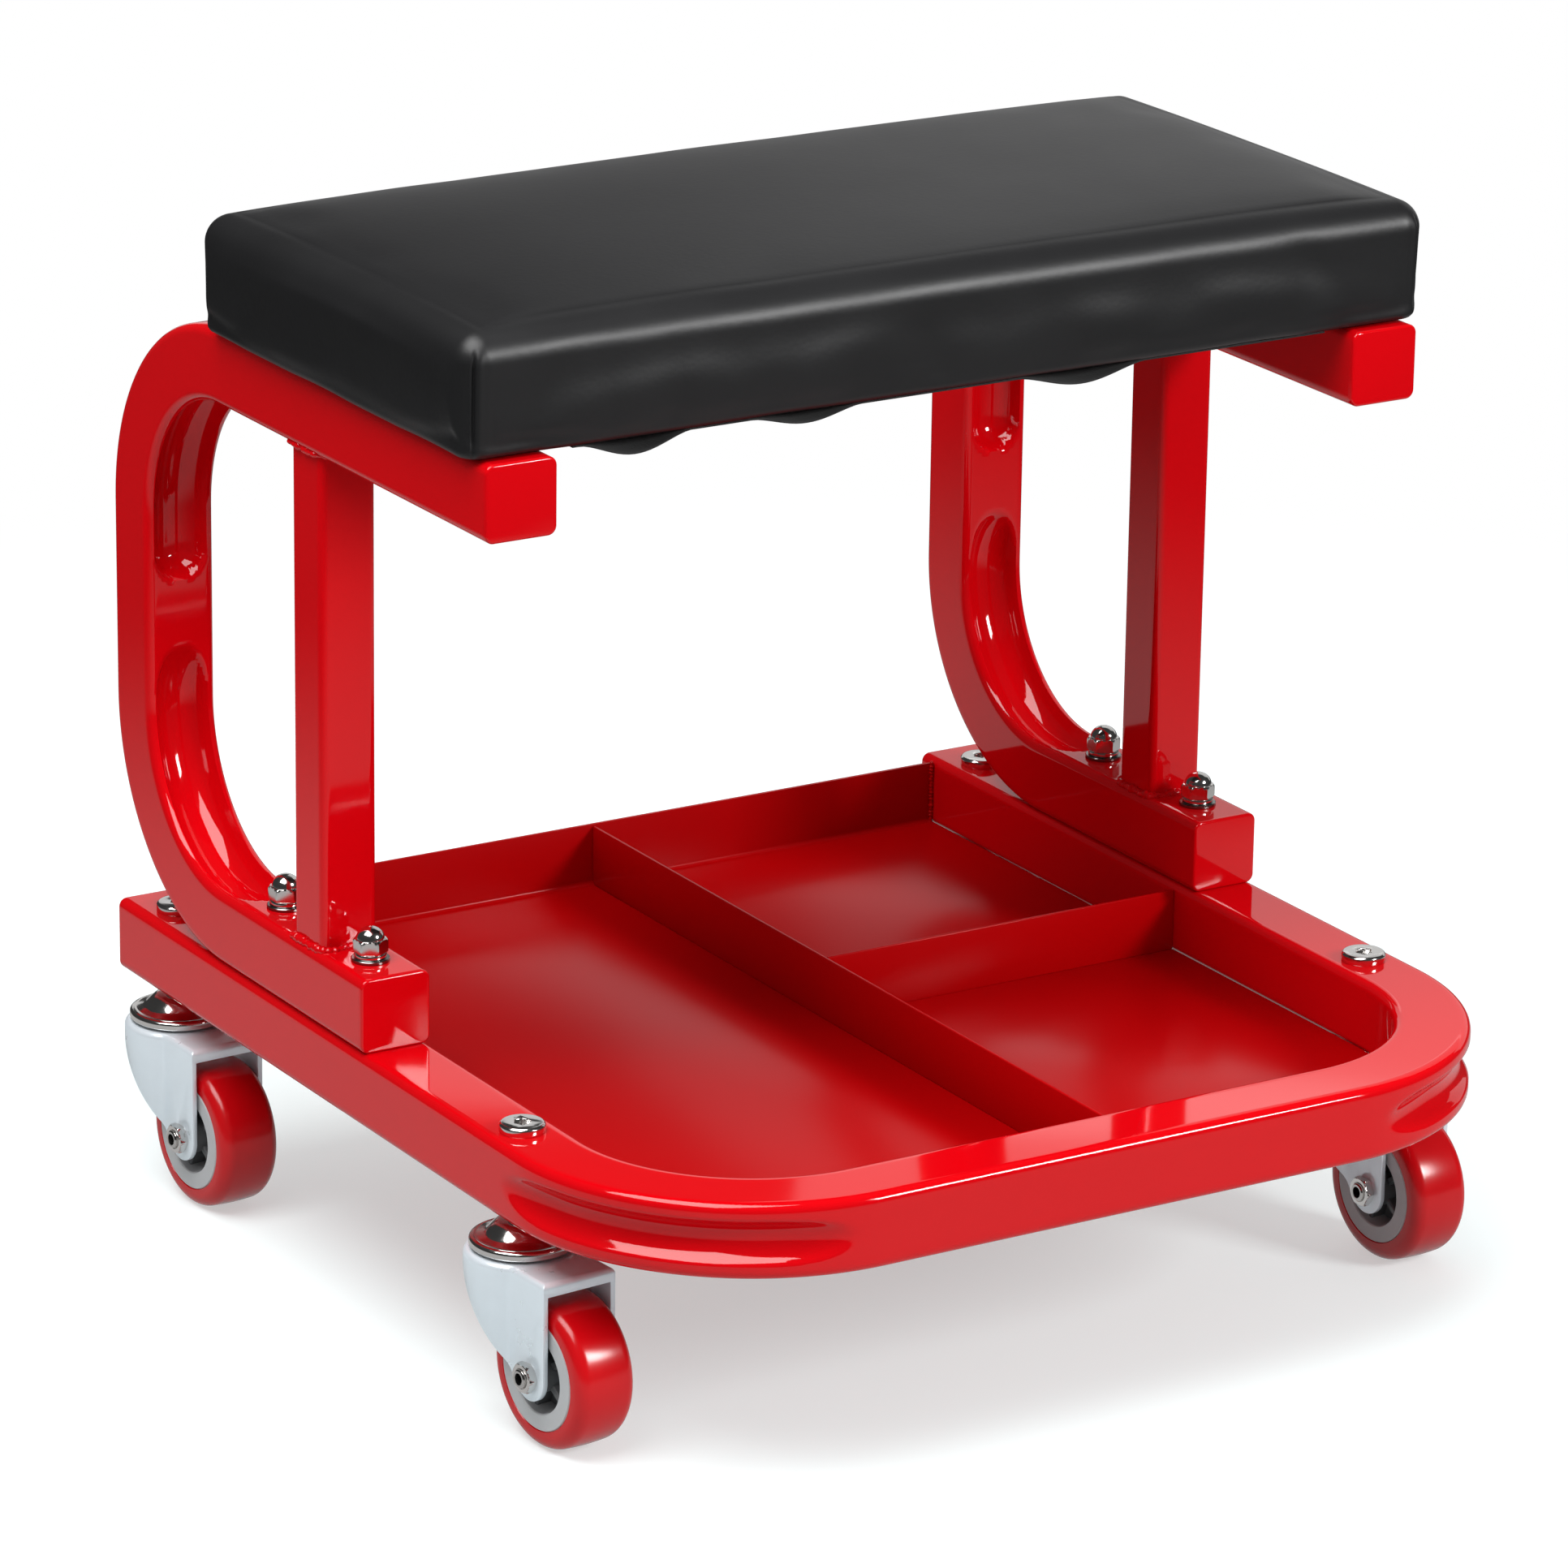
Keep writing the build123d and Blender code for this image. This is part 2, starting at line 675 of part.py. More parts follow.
def caster_race(swivel):
    """Domed upper race, clamped under the rail: a rim over the balls and a crown round the stem."""
    track = ball_top + 2 * ball_lift
    shoulder = track + race_sheet
    points = [
        (stem_radius + thread_clearance, race_top),
        (race_crown_radius, race_top),
        (ball_pitch_radius - ball_radius, shoulder + ball_lift),
        (race_radius - race_sheet, shoulder),
        (race_radius, race_bottom + race_rim_height),
        (race_radius, race_bottom),
        (race_radius - race_sheet / 2, race_bottom),
        (race_radius - race_sheet / 2, track),
        (ball_pitch_radius - ball_radius, track),
        (race_crown_radius, race_top - race_sheet),
        (stem_radius + thread_clearance, race_top - race_sheet),
    ]
    with BuildPart() as race:
        with BuildSketch(Plane(origin=swivel.origin, x_dir=swivel.x_dir, z_dir=-swivel.y_dir)):
            with BuildLine():
                Polyline(*points, close=True)
            make_face()
        revolve(axis=Axis(swivel.origin, (0, 0, 1)))
    return race.part


def caster_balls(swivel):
    """Ring of balls between the fork and the upper race."""
    with BuildPart() as balls:
        with Locations(swivel.offset(fork_top + ball_radius + ball_lift)):
            with PolarLocations(ball_pitch_radius, ball_count):
                Sphere(ball_radius)
    return balls.part


def caster_stem(swivel):
    """Stem with its head under the fork, up through the race into the sleeve nut."""
    head_top = fork_underside - stem_head_gap
    stem_top = sleeve_bore_top - thread_clearance
    with BuildPart() as stem:
        with BuildSketch(swivel.offset(head_top - stem_head_height)):
            Circle(stem_head_radius)
        extrude(amount=stem_head_height)
        with BuildSketch(swivel.offset(head_top)):
            Circle(stem_radius)
        extrude(amount=stem_top - head_top)
    return stem.part


def caster_tyre(swivel):
    """Tyre with rounded shoulders, moulded round the hub."""
    with BuildPart() as tyre:
        with BuildSketch(axle_plane(swivel, -tyre_width / 2)):
            Circle(wheel_radius)
        extrude(amount=tyre_width)
        fillet(tyre.edges().filter_by(GeomType.CIRCLE), tyre_shoulder_radius)
        with BuildSketch(axle_plane(swivel, -tyre_width / 2)):
            Circle(hub_ring_radius + bond_gap)
        extrude(amount=tyre_width, mode=Mode.SUBTRACT)
    return tyre.part


def caster_hub(swivel):
    """Hub: outer ring, web with ribs on both sides, and a boss for the bushes."""
    boss_half = tyre_width / 2 + hub_boss_stand
    rib_half = tyre_width / 2 - hub_rib_drop
    rib_span = hub_ring_inner_radius - hub_boss_radius + overrun
    rib_middle = (hub_ring_inner_radius + hub_boss_radius) / 2
    with BuildPart() as hub:
        with BuildSketch(axle_plane(swivel, 0)):
            Circle(hub_ring_radius)
            Circle(hub_ring_inner_radius, mode=Mode.SUBTRACT)
        extrude(amount=tyre_width / 2, both=True)
        with BuildSketch(axle_plane(swivel, 0)):
            Circle(hub_ring_inner_radius)
        extrude(amount=hub_web_thickness / 2, both=True)
        with BuildSketch(axle_plane(swivel, 0)):
            Circle(hub_boss_radius)
        extrude(amount=boss_half, both=True)
        with BuildSketch(axle_plane(swivel, 0)):
            with PolarLocations(rib_middle, hub_rib_count, start_angle=90):
                Rectangle(rib_span, hub_rib_width)
        extrude(amount=rib_half, both=True)
        with BuildSketch(axle_plane(swivel, 0)):
            Circle(bush_radius + bond_gap)
        extrude(amount=boss_half + overrun, both=True, mode=Mode.SUBTRACT)
    return hub.part


def caster_bushes(swivel):
    """Two flanged bushes, one in each end of the hub's boss."""
    boss_half = tyre_width / 2 + hub_boss_stand
    with BuildPart() as bushes:
        for side in (-1, 1):
            with BuildSketch(axle_plane(swivel, side * hub_web_thickness / 4)):
                Circle(bush_radius)
            extrude(amount=side * (boss_half - hub_web_thickness / 4))
            with BuildSketch(axle_plane(swivel, side * boss_half)):
                Circle(bush_flange_radius)
            extrude(amount=side * bush_flange_thickness)
        with BuildSketch(axle_plane(swivel, 0)):
            Circle(axle_radius + running_clearance)
        extrude(amount=fork_half_width, both=True, mode=Mode.SUBTRACT)
    return bushes.part


def caster_axle_bolt(swivel):
    """Axle bolt, head on the right cheek, thread end through the left one."""
    end = fork_half_width + axle_head_height + axle_end_stand
    with BuildPart() as bolt:
        with BuildSketch(axle_plane(swivel, fork_half_width)):
            RegularPolygon(axle_head_flats / 2, 6, major_radius=False)
        extrude(amount=axle_head_height)
        with BuildSketch(axle_plane(swivel, -end)):
            Circle(axle_radius)
        extrude(amount=end + fork_half_width)
    return bolt.part


def caster_axle_nut(swivel):
    """Hexagon nut on the left cheek."""
    with BuildPart() as nut:
        with BuildSketch(axle_plane(swivel, -fork_half_width)):
            RegularPolygon(axle_head_flats / 2, 6, major_radius=False)
            Circle(axle_radius + thread_clearance, mode=Mode.SUBTRACT)
        extrude(amount=-axle_head_height)
    return nut.part


caster_places = {
    "front_left": (-rail_x, caster_front_y, front_left_turn),
    "front_right": (rail_x, caster_front_y, front_right_turn),
    "rear_left": (-rail_x, caster_back_y, rear_left_turn),
    "rear_right": (rail_x, caster_back_y, rear_right_turn),
}
caster_pieces = {
    "stem": caster_stem,
    "race": caster_race,
    "balls": caster_balls,
    "fork": caster_fork,
    "axle_bolt": caster_axle_bolt,
    "axle_nut": caster_axle_nut,
    "tyre": caster_tyre,
    "hub": caster_hub,
    "bushes": caster_bushes,
}
for corner, (x, y, turn) in caster_places.items():
    ahead = (cos(radians(turn)), sin(radians(turn)), 0)
    swivel = Plane(origin=(x, y, 0), x_dir=ahead, z_dir=(0, 0, 1))
    for piece, make_piece in caster_pieces.items():
        save(make_piece(swivel), corner + "_" + piece)


# Seat
def cushion_outline(height, inset, corner):
    """Rounded rectangle of the cushion at one level."""
    with BuildSketch(Plane(origin=(0, seat_y, height))) as outline:
        RectangleRounded(seat_length - 2 * inset, seat_depth - 2 * inset, corner)
    return outline.sketch


def cushion(skin):
    """Cushion with drawn-in lower edge, rounded shoulder and crowned top, shrunk by a skin."""
    side_height = cushion_edge_height - cushion_shoulder_radius
    side_shares = [(0, 1), (0.5, 0), (1, 0.2)]
    crown_shares = [(0, 0), (0.5, 0.25), (0.86, 0.6), (1, 0.9)]
    cushion_corner_share = 0.9
    crown_reach = seat_depth / 2 - cushion_shoulder_radius
    side = [(rise * side_height, share * cushion_bottom_inset) for rise, share in side_shares]
    shoulder = []
    for angle in cushion_shoulder_angles:
        rise = side_height + cushion_shoulder_radius * sin(radians(angle))
        shoulder.append((rise, side[-1][1] + cushion_shoulder_radius * (1 - cos(radians(angle)))))
    crown = []
    for rise, share in crown_shares:
        level = cushion_edge_height + rise * cushion_crown_height
        crown.append((level, shoulder[-1][1] + share * crown_reach))
    full_height = cushion_edge_height + cushion_crown_height
    squeeze = (full_height - 2 * skin) / full_height
    with BuildPart() as pad:
        for group in (side, shoulder, crown):
            outlines = []
            for rise, inset in group:
                level = cushion_bottom + skin + rise * squeeze
                widest_corner = cushion_corner_share * (seat_depth / 2 - inset - skin)
                corner = min(cushion_corner_radius + inset / 2, widest_corner)
                outlines.append(cushion_outline(level, inset + skin, corner))
            loft(sections=outlines)
    return pad.part


cushion_inside = cushion(cover_thickness)
board_inset = cushion_bottom_inset + cover_thickness + 2 * upholstery_gap
board_corner_radius = cushion_corner_radius + cushion_bottom_inset
hem_cut = cushion_outline(cushion_bottom - overrun, cover_hem_width, board_corner_radius)
hem_run = cover_thickness + 2 * overrun
hem_holes = cylinders(seat_bolt_points, cushion_bottom - overrun, bolt_hole_radius, hem_run)

# Staple places: a row along the front and a row along the back of the seat, between the bulges of the cloth
cloth_half = base_width / 2 - tube_side - dust_cloth_side_setback
staple_columns = [cloth_half * (2 * share - 1) for share in staple_column_shares]
staple_rows = [seat_front + staple_setback, seat_front + seat_depth - staple_setback]
staple_places = [(x, y) for x in staple_columns for y in staple_rows]


def staple_legs(bottom, growth, height):
    """The two legs of every staple, grown by a clearance."""
    side = staple_wire + 2 * growth
    reach = (staple_crown - staple_wire) / 2
    with BuildPart() as legs:
        with BuildSketch(Plane.XY.offset(bottom)):
            for x, y in staple_places:
                with Locations((x - reach, y), (x + reach, y)):
                    Rectangle(side, side)
        extrude(amount=height)
    return legs.part


pocket_run = staple_leg + overrun + staple_clearance
staple_pockets = staple_legs(cloth_bottom - overrun, staple_clearance, pocket_run)

with BuildPart() as seat_cover:
    add(cushion(0))
    add(cushion_inside, mode=Mode.SUBTRACT)
    extrude(hem_cut, amount=overrun + 2 * cover_thickness, mode=Mode.SUBTRACT)
    add(hem_holes, mode=Mode.SUBTRACT)
    add(staple_pockets, mode=Mode.SUBTRACT)
save(seat_cover.part, "seat_cover")

with BuildPart() as seat_board:
    extrude(cushion_outline(hem_top, board_inset, board_corner_radius), amount=board_thickness)
    barrel_holes = cylinders(seat_bolt_points, hem_top, tee_nut_radius + tee_nut_clearance, board_thickness)
    add(barrel_holes, mode=Mode.SUBTRACT)
    add(staple_pockets, mode=Mode.SUBTRACT)
save(seat_board.part, "seat_board")

with BuildPart() as seat_foam:
    add(cushion(cover_thickness + upholstery_gap))
    split(bisect_by=Plane.XY.offset(board_top), keep=Keep.TOP)
    flange_room = tee_nut_flange_thickness + tee_nut_clearance
    flange_reach = tee_nut_flange_radius + tee_nut_clearance
    flange_pockets = cylinders(seat_bolt_points, board_top, flange_reach, flange_room)
    add(flange_pockets, mode=Mode.SUBTRACT)
save(seat_foam.part, "seat_foam")

with BuildPart() as seat_tee_nuts:
    add(cylinders(seat_bolt_points, hem_top, tee_nut_radius, board_thickness))
    add(cylinders(seat_bolt_points, board_top, tee_nut_flange_radius, tee_nut_flange_thickness))
    bore_run = board_thickness + tee_nut_flange_thickness + overrun
    nut_bore = cylinders(seat_bolt_points, hem_top, bolt_radius + thread_clearance, bore_run)
    add(nut_bore, mode=Mode.SUBTRACT)
save(seat_tee_nuts.part, "seat_tee_nuts")

with BuildPart() as seat_bolt_washers:
    with BuildSketch(Plane.XY.offset(seat_washer_bottom)):
        with Locations(*seat_bolt_points):
            Circle(flat_washer_radius)
            Circle(bolt_hole_radius, mode=Mode.SUBTRACT)
    extrude(amount=flat_washer_thickness)
save(seat_bolt_washers.part, "seat_bolt_washers")

with BuildPart() as seat_bolts:
    head_bottom = seat_washer_bottom - bolt_head_height
    add(hexagons(seat_bolt_points, head_bottom, bolt_head_flats, bolt_head_height))
    add(cylinders(seat_bolt_points, seat_washer_bottom, bolt_radius, board_top - seat_washer_bottom))
save(seat_bolts.part, "seat_bolts")

with BuildPart() as seat_staples:
    with BuildSketch(Plane.XY.offset(cloth_bottom)):
        with Locations(*staple_places):
            Rectangle(staple_crown, staple_wire)
    extrude(amount=-staple_wire)
    add(staple_legs(cloth_bottom, 0, staple_leg))
save(seat_staples.part, "seat_staples")

with BuildPart() as seat_dust_cloth:
    cloth_top = cloth_bottom + dust_cloth_thickness
    cloth_back = seat_front + seat_depth - dust_cloth_setback
    with BuildSketch(Plane(origin=(0, cloth_back, 0), x_dir=(1, 0, 0), z_dir=(0, -1, 0))):
        cloth_middle = (cloth_bottom + cloth_top) / 2
        with Locations((0, cloth_middle)):
            Rectangle(2 * cloth_half, dust_cloth_thickness)
        for bulge_shares in dust_cloth_bulge_shares:
            left, right = [cloth_half * (2 * share - 1) for share in bulge_shares]
            middle = (left + right) / 2
            with Locations((middle, cloth_middle)):
                Rectangle(right - left, 2 * dust_cloth_thickness, mode=Mode.SUBTRACT)
            with BuildLine():
                lowest, lining = cloth_bottom - dust_cloth_sag, cloth_top - dust_cloth_sag
                ThreePointArc((left, cloth_bottom), (middle, lowest), (right, cloth_bottom))
                Line((right, cloth_bottom), (right, cloth_top))
                ThreePointArc((right, cloth_top), (middle, lining), (left, cloth_top))
                Line((left, cloth_top), (left, cloth_bottom))
            make_face()
    extrude(amount=seat_depth - 2 * dust_cloth_setback)
    add(staple_pockets, mode=Mode.SUBTRACT)
save(seat_dust_cloth.part, "seat_dust_cloth")
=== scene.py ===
# A rolling workshop stool: pressed tube frames, a divided tool tray, a vinyl seat and four swivel casters
# Lengths are in metres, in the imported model's own frame: +X along the seat, +Y to the open back, +Z up

import json
import math
import random

import bmesh
import bpy
from mathutils import Matrix, Vector


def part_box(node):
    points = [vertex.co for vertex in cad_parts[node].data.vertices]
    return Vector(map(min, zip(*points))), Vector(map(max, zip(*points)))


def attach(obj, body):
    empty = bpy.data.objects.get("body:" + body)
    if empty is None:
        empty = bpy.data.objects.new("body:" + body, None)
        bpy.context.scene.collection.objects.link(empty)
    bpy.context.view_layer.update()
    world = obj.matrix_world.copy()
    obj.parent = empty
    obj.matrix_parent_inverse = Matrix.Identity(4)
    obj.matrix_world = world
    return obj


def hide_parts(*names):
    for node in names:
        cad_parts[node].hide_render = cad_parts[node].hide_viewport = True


bl_info = {
    "name": "Workshop stool",
    "version": (1, 0, 0),
    "blender": (4, 5, 0),
    "location": "View3D > Sidebar > Stool",
    "description": "Dresses the packed workshop stool: pressed tubes, tool tray, vinyl seat and casters",
    "category": "Object",
}

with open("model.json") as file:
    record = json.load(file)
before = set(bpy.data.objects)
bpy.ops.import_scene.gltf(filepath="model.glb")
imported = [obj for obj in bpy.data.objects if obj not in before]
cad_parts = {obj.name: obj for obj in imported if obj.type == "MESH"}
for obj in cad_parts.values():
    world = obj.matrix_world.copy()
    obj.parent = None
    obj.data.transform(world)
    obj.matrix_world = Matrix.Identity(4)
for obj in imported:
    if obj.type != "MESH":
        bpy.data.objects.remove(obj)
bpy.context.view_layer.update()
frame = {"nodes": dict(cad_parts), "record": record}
mm = 0.001
corners = ("front_left", "front_right", "rear_left", "rear_right")
sides = ("left", "right")
root_body = "frame"
number, tone_socket = "NodeSocketFloat", "NodeSocketColor"


# Sizes and colours that a user would change
def length(name, description, default):
    return bpy.props.FloatProperty(name=name, description=description, default=default, unit="LENGTH", precision=5)


def share(name, description, default):
    return bpy.props.FloatProperty(name=name, description=description, default=default, min=0, max=10)


def colour(name, description, default):
    return bpy.props.FloatVectorProperty(
        name=name, description=description, default=default, size=3, min=0, max=1, subtype="COLOR"
    )


def degrees(name, description, default):
    return bpy.props.FloatProperty(name=name, description=description, default=default)


def whole(name, description, default):
    return bpy.props.IntProperty(name=name, description=description, default=default, min=0, max=50)


class StoolTubes(bpy.types.PropertyGroup):
    side: length("Tube side", "Width of the square tube", 25 * mm)
    corner: length("Tube corner", "Outer corner radius of the square tube", 3 * mm)
    strut_corner: length("Strut corner", "Outer corner radius of the strut tube", 2.5 * mm)
    rail_bend: length("Rail bend", "Outer bend radius of the base rail", 84 * mm)
    frame_bend: length("Frame bend", "Outer bend radius of a side frame", 75 * mm)
    station: length("Station", "Distance between the rings of a tube", 1.6 * mm)
    groove_width: length("Groove width", "Width of the groove round the front corners", 14 * mm)
    groove_depth: length("Groove depth", "Depth of the groove round the front corners", 4.6 * mm)
    groove_start: degrees("Groove start", "Angle into the bend at which the groove is deep", 16)
    groove_end: degrees("Groove end", "Angle before the end of the bend at which the groove rises", 27)
    groove_run: length("Groove run", "Length over which the groove rises out of the wall", 34 * mm)
    channel_width: length("Channel width", "Width of the pressed channels in the bends", 18.8 * mm)
    channel_depth: length("Channel depth", "Depth of the pressed channels in the bends", 8 * mm)
    leg_run: length("Leg run", "Length of a channel along the leg", 13 * mm)
    back_run: length("Back run", "Length of the upper channel down the back", 24 * mm)
    channel_fade: length("Channel fade", "Radius on which the lower channel leaves the back", 17 * mm)
    lip: length("Lip", "Softness of a channel's lip", 1.3 * mm)
    plate_edge: length("Plate edge", "Edge radius of the plates that close the tubes", 0.9 * mm)
    weld_bead: length("Weld bead", "Radius of a weld bead", 1.7 * mm)


class StoolSeat(bpy.types.PropertyGroup):
    corner: length("Corner", "Corner radius of the cushion in plan", 9.5 * mm)
    shoulder: length("Shoulder", "Edge radius round the top", 9.5 * mm)
    foot: length("Foot", "Edge radius round the bottom", 2.4 * mm)
    crown: length("Crown", "Rise of the top above its edges", 4.5 * mm)
    inset: length("Inset", "How far the sides draw in at the bottom", 1.6 * mm)
    pucker: length("Pucker", "Depth of the puckers in the sides", 0.7 * mm)
    pleat: length("Pleat", "Depth of the folded pleat at each corner", 1.5 * mm)
    flap: length("Flap", "How far the flap beside a pleat stands up", 0.7 * mm)
    sim_cap: length("Settling cap", "The most that settling may move a point", 0.9 * mm)
    easing_rounds: whole("Easing rounds", "How often the settling is smoothed", 8)
    pressure: share("Pressure", "Air pressure that fills the cushion while it settles", 4.0)
    sag: length("Cloth sag", "How far the dust cloth hangs between its staples", 5 * mm)


class StoolCasters(bpy.types.PropertyGroup):
    tyre_radius: length("Tyre radius", "Outer radius of a wheel", 25 * mm)
    tyre_width: length("Tyre width", "Width of a wheel", 21.5 * mm)
    shoulder: length("Shoulder", "Radius of the tyre's shoulders", 4.4 * mm)
    ring_outer: length("Ring outside", "Outer radius of the pale hub ring", 18.35 * mm)
    ring_inner: length("Ring inside", "Inner radius of the pale hub ring", 12.7 * mm)
    boss: length("Boss", "Radius of the hub's boss", 6 * mm)
    rib_count: whole("Ribs", "Ribs on each side of a hub", 5)
    axle: length("Axle", "Radius of the axle bolt", 3 * mm)
    nut_flats: length("Nut flats", "Width of the axle nut across its flats", 9 * mm)
    nut_height: length("Nut height", "Height of the axle nut", 3 * mm)


class StoolFinish(bpy.types.PropertyGroup):
    enamel: colour("Enamel", "Colour of the painted steel", (0.60, 0.001, 0.004))
    # Painted shade: the tray's colour is darker than the frame's enamel to stand in for the shade that the seat casts
    # into the tray
    tray: colour("Tray enamel", "Colour of the duller enamel of the tray", (0.42, 0.0004, 0.0015))
    enamel_deep: colour("Deep enamel", "Colour of the enamel where it lies thick", (0.55, 0.0005, 0.003))
    nickel: colour("Nickel", "Colour of the bright fasteners", (0.80, 0.78, 0.76))
    zinc: colour("Zinc", "Colour of the plated forks", (0.84, 0.91, 0.97))
    tyre: colour("Tyre", "Colour of the polyurethane tyres", (0.56, 0.001, 0.004))
    ring: colour("Hub ring", "Colour of the pale hub ring", (0.47, 0.465, 0.475))
    hub: colour("Hub", "Colour of the dark hub", (0.12, 0.12, 0.125))
    vinyl: colour("Vinyl", "Colour of the seat cover", (0.010, 0.010, 0.0108))
    cloth: colour("Cloth", "Colour of the dust cloth", (0.012, 0.012, 0.013))


class StoolStage(bpy.types.PropertyGroup):
    floor_size: length("Floor size", "Side of the floor", 60.0)
    paper: colour("Paper", "Colour of the floor near the object", (0.50, 0.57, 0.57))
    lift: share("Lift", "Plain brightness added to the floor for the camera", 0.48)
    paper_inner: length("Paper inside", "Distance at which the lit paper starts to fade", 0.42)
    paper_outer: length("Paper outside", "Distance at which the lit paper has faded to plain white", 0.9)
    mirror_paper: share("Mirrored paper", "Brightness of the near floor in mirrors", 0.5)
    mirror_far: share("Mirrored distance", "Brightness of the far floor in mirrors", 0.04)
    plain_far: share("Far floor", "Brightness of the far floor for plain rays", 0.45)
    even_light: share("Even light", "Brightness of the room for plain rays", 0.55)
    mirror_light: share("Mirror light", "Brightness of the room for mirror rays", 0.05)


# Node building
def feed(tree, node, inputs):
    """Feed a node's inputs with sockets or plain values."""
    for socket, value in inputs.items():
        if isinstance(value, bpy.types.NodeSocket):
            tree.links.new(value, node.inputs[socket])
        else:
            node.inputs[socket].default_value = value


def add(tree, kind, inputs=None, **settings):
    """A new node with its settings and its fed inputs."""
    node = tree.nodes.new(kind)
    for name, value in settings.items():
        setattr(node, name, value)
    feed(tree, node, inputs or {})
    return node


def new_tree(kind, name, inputs, outputs):
    """A node group with named sockets, what its inputs give and its last node."""
    tree = bpy.data.node_groups.new(name, kind)
    for label, socket_type in inputs:
        tree.interface.new_socket(name=label, in_out="INPUT", socket_type=socket_type)
    for label, socket_type in outputs:
        tree.interface.new_socket(name=label, in_out="OUTPUT", socket_type=socket_type)
    return tree, tree.nodes.new("NodeGroupInput").outputs, tree.nodes.new("NodeGroupOutput")


# Shared shader groups
def grain_group():
    """Height of fine cells and soft waves, for plated, painted, moulded and embossed skins."""
    if "Fine grain" in bpy.data.node_groups:
        return bpy.data.node_groups["Fine grain"]
    inputs = [("Cell scale", number), ("Wave scale", number), ("Cell share", number)]
    group, given, sink = new_tree("ShaderNodeTree", "Fine grain", inputs, [("Height", number)])
    place = add(group, "ShaderNodeTexCoord").outputs["Object"]
    cell_inputs = {"Vector": place, "Scale": given["Cell scale"]}
    cells = add(group, "ShaderNodeTexVoronoi", cell_inputs, feature="SMOOTH_F1").outputs["Distance"]
    wave_inputs = {"Vector": place, "Scale": given["Wave scale"], "Detail": 4.0}
    waves = add(group, "ShaderNodeTexNoise", wave_inputs).outputs["Fac"]
    mix = add(group, "ShaderNodeMix", {"Factor": given["Cell share"], "A": waves, "B": cells})
    feed(group, sink, {"Height": mix.outputs["Result"]})
    return group


def drift_group():
    """A colour and a roughness that drift softly over the surface between two values."""
    if "Soft drift" in bpy.data.node_groups:
        return bpy.data.node_groups["Soft drift"]
    inputs = [("Scale", number), ("Low colour", tone_socket), ("High colour", tone_socket)]
    inputs += [("Low roughness", number), ("High roughness", number)]
    outputs = [("Colour", tone_socket), ("Roughness", number)]
    group, given, sink = new_tree("ShaderNodeTree", "Soft drift", inputs, outputs)
    place = add(group, "ShaderNodeTexCoord").outputs["Object"]
    noise_inputs = {"Vector": place, "Scale": given["Scale"], "Detail": 5.0}
    noise = add(group, "ShaderNodeTexNoise", noise_inputs).outputs["Fac"]
    tone_inputs = {"Factor": noise, 6: given["Low colour"], 7: given["High colour"]}
    tone = add(group, "ShaderNodeMix", tone_inputs, data_type="RGBA")
    rough_inputs = {"Factor": noise, "A": given["Low roughness"], "B": given["High roughness"]}
    rough = add(group, "ShaderNodeMix", rough_inputs)
    feed(group, sink, {"Colour": tone.outputs[2], "Roughness": rough.outputs["Result"]})
    return group


def skin(name, low, high, rough, drift_scale, grain, bump, settings):
    """A Principled material whose colour, roughness and relief drift over the surface."""
    dressed = "dressed_" + name
    if dressed in bpy.data.materials:
        return bpy.data.materials[dressed]
    material = bpy.data.materials.new(dressed)
    material.use_nodes = True
    tree = material.node_tree
    drift_inputs = {"Scale": drift_scale, "Low colour": (*low, 1), "High colour": (*high, 1)}
    drift_inputs.update({"Low roughness": rough[0], "High roughness": rough[1]})
    drift = add(tree, "ShaderNodeGroup", node_tree=drift_group())
    feed(tree, drift, drift_inputs)
    relief = add(tree, "ShaderNodeGroup", node_tree=grain_group())
    feed(tree, relief, dict(zip(("Cell scale", "Wave scale", "Cell share"), grain)))
    raised_inputs = {"Strength": bump[0], "Distance": bump[1] * mm, "Height": relief.outputs["Height"]}
    raised = add(tree, "ShaderNodeBump", raised_inputs)
    surface = {"Base Color": drift.outputs["Colour"], "Roughness": drift.outputs["Roughness"]}
    feed(tree, tree.nodes["Principled BSDF"], {**surface, "Normal": raised.outputs["Normal"], **settings})
    return material


def darker(tone, factor):
    return tuple(factor * channel for channel in tone)


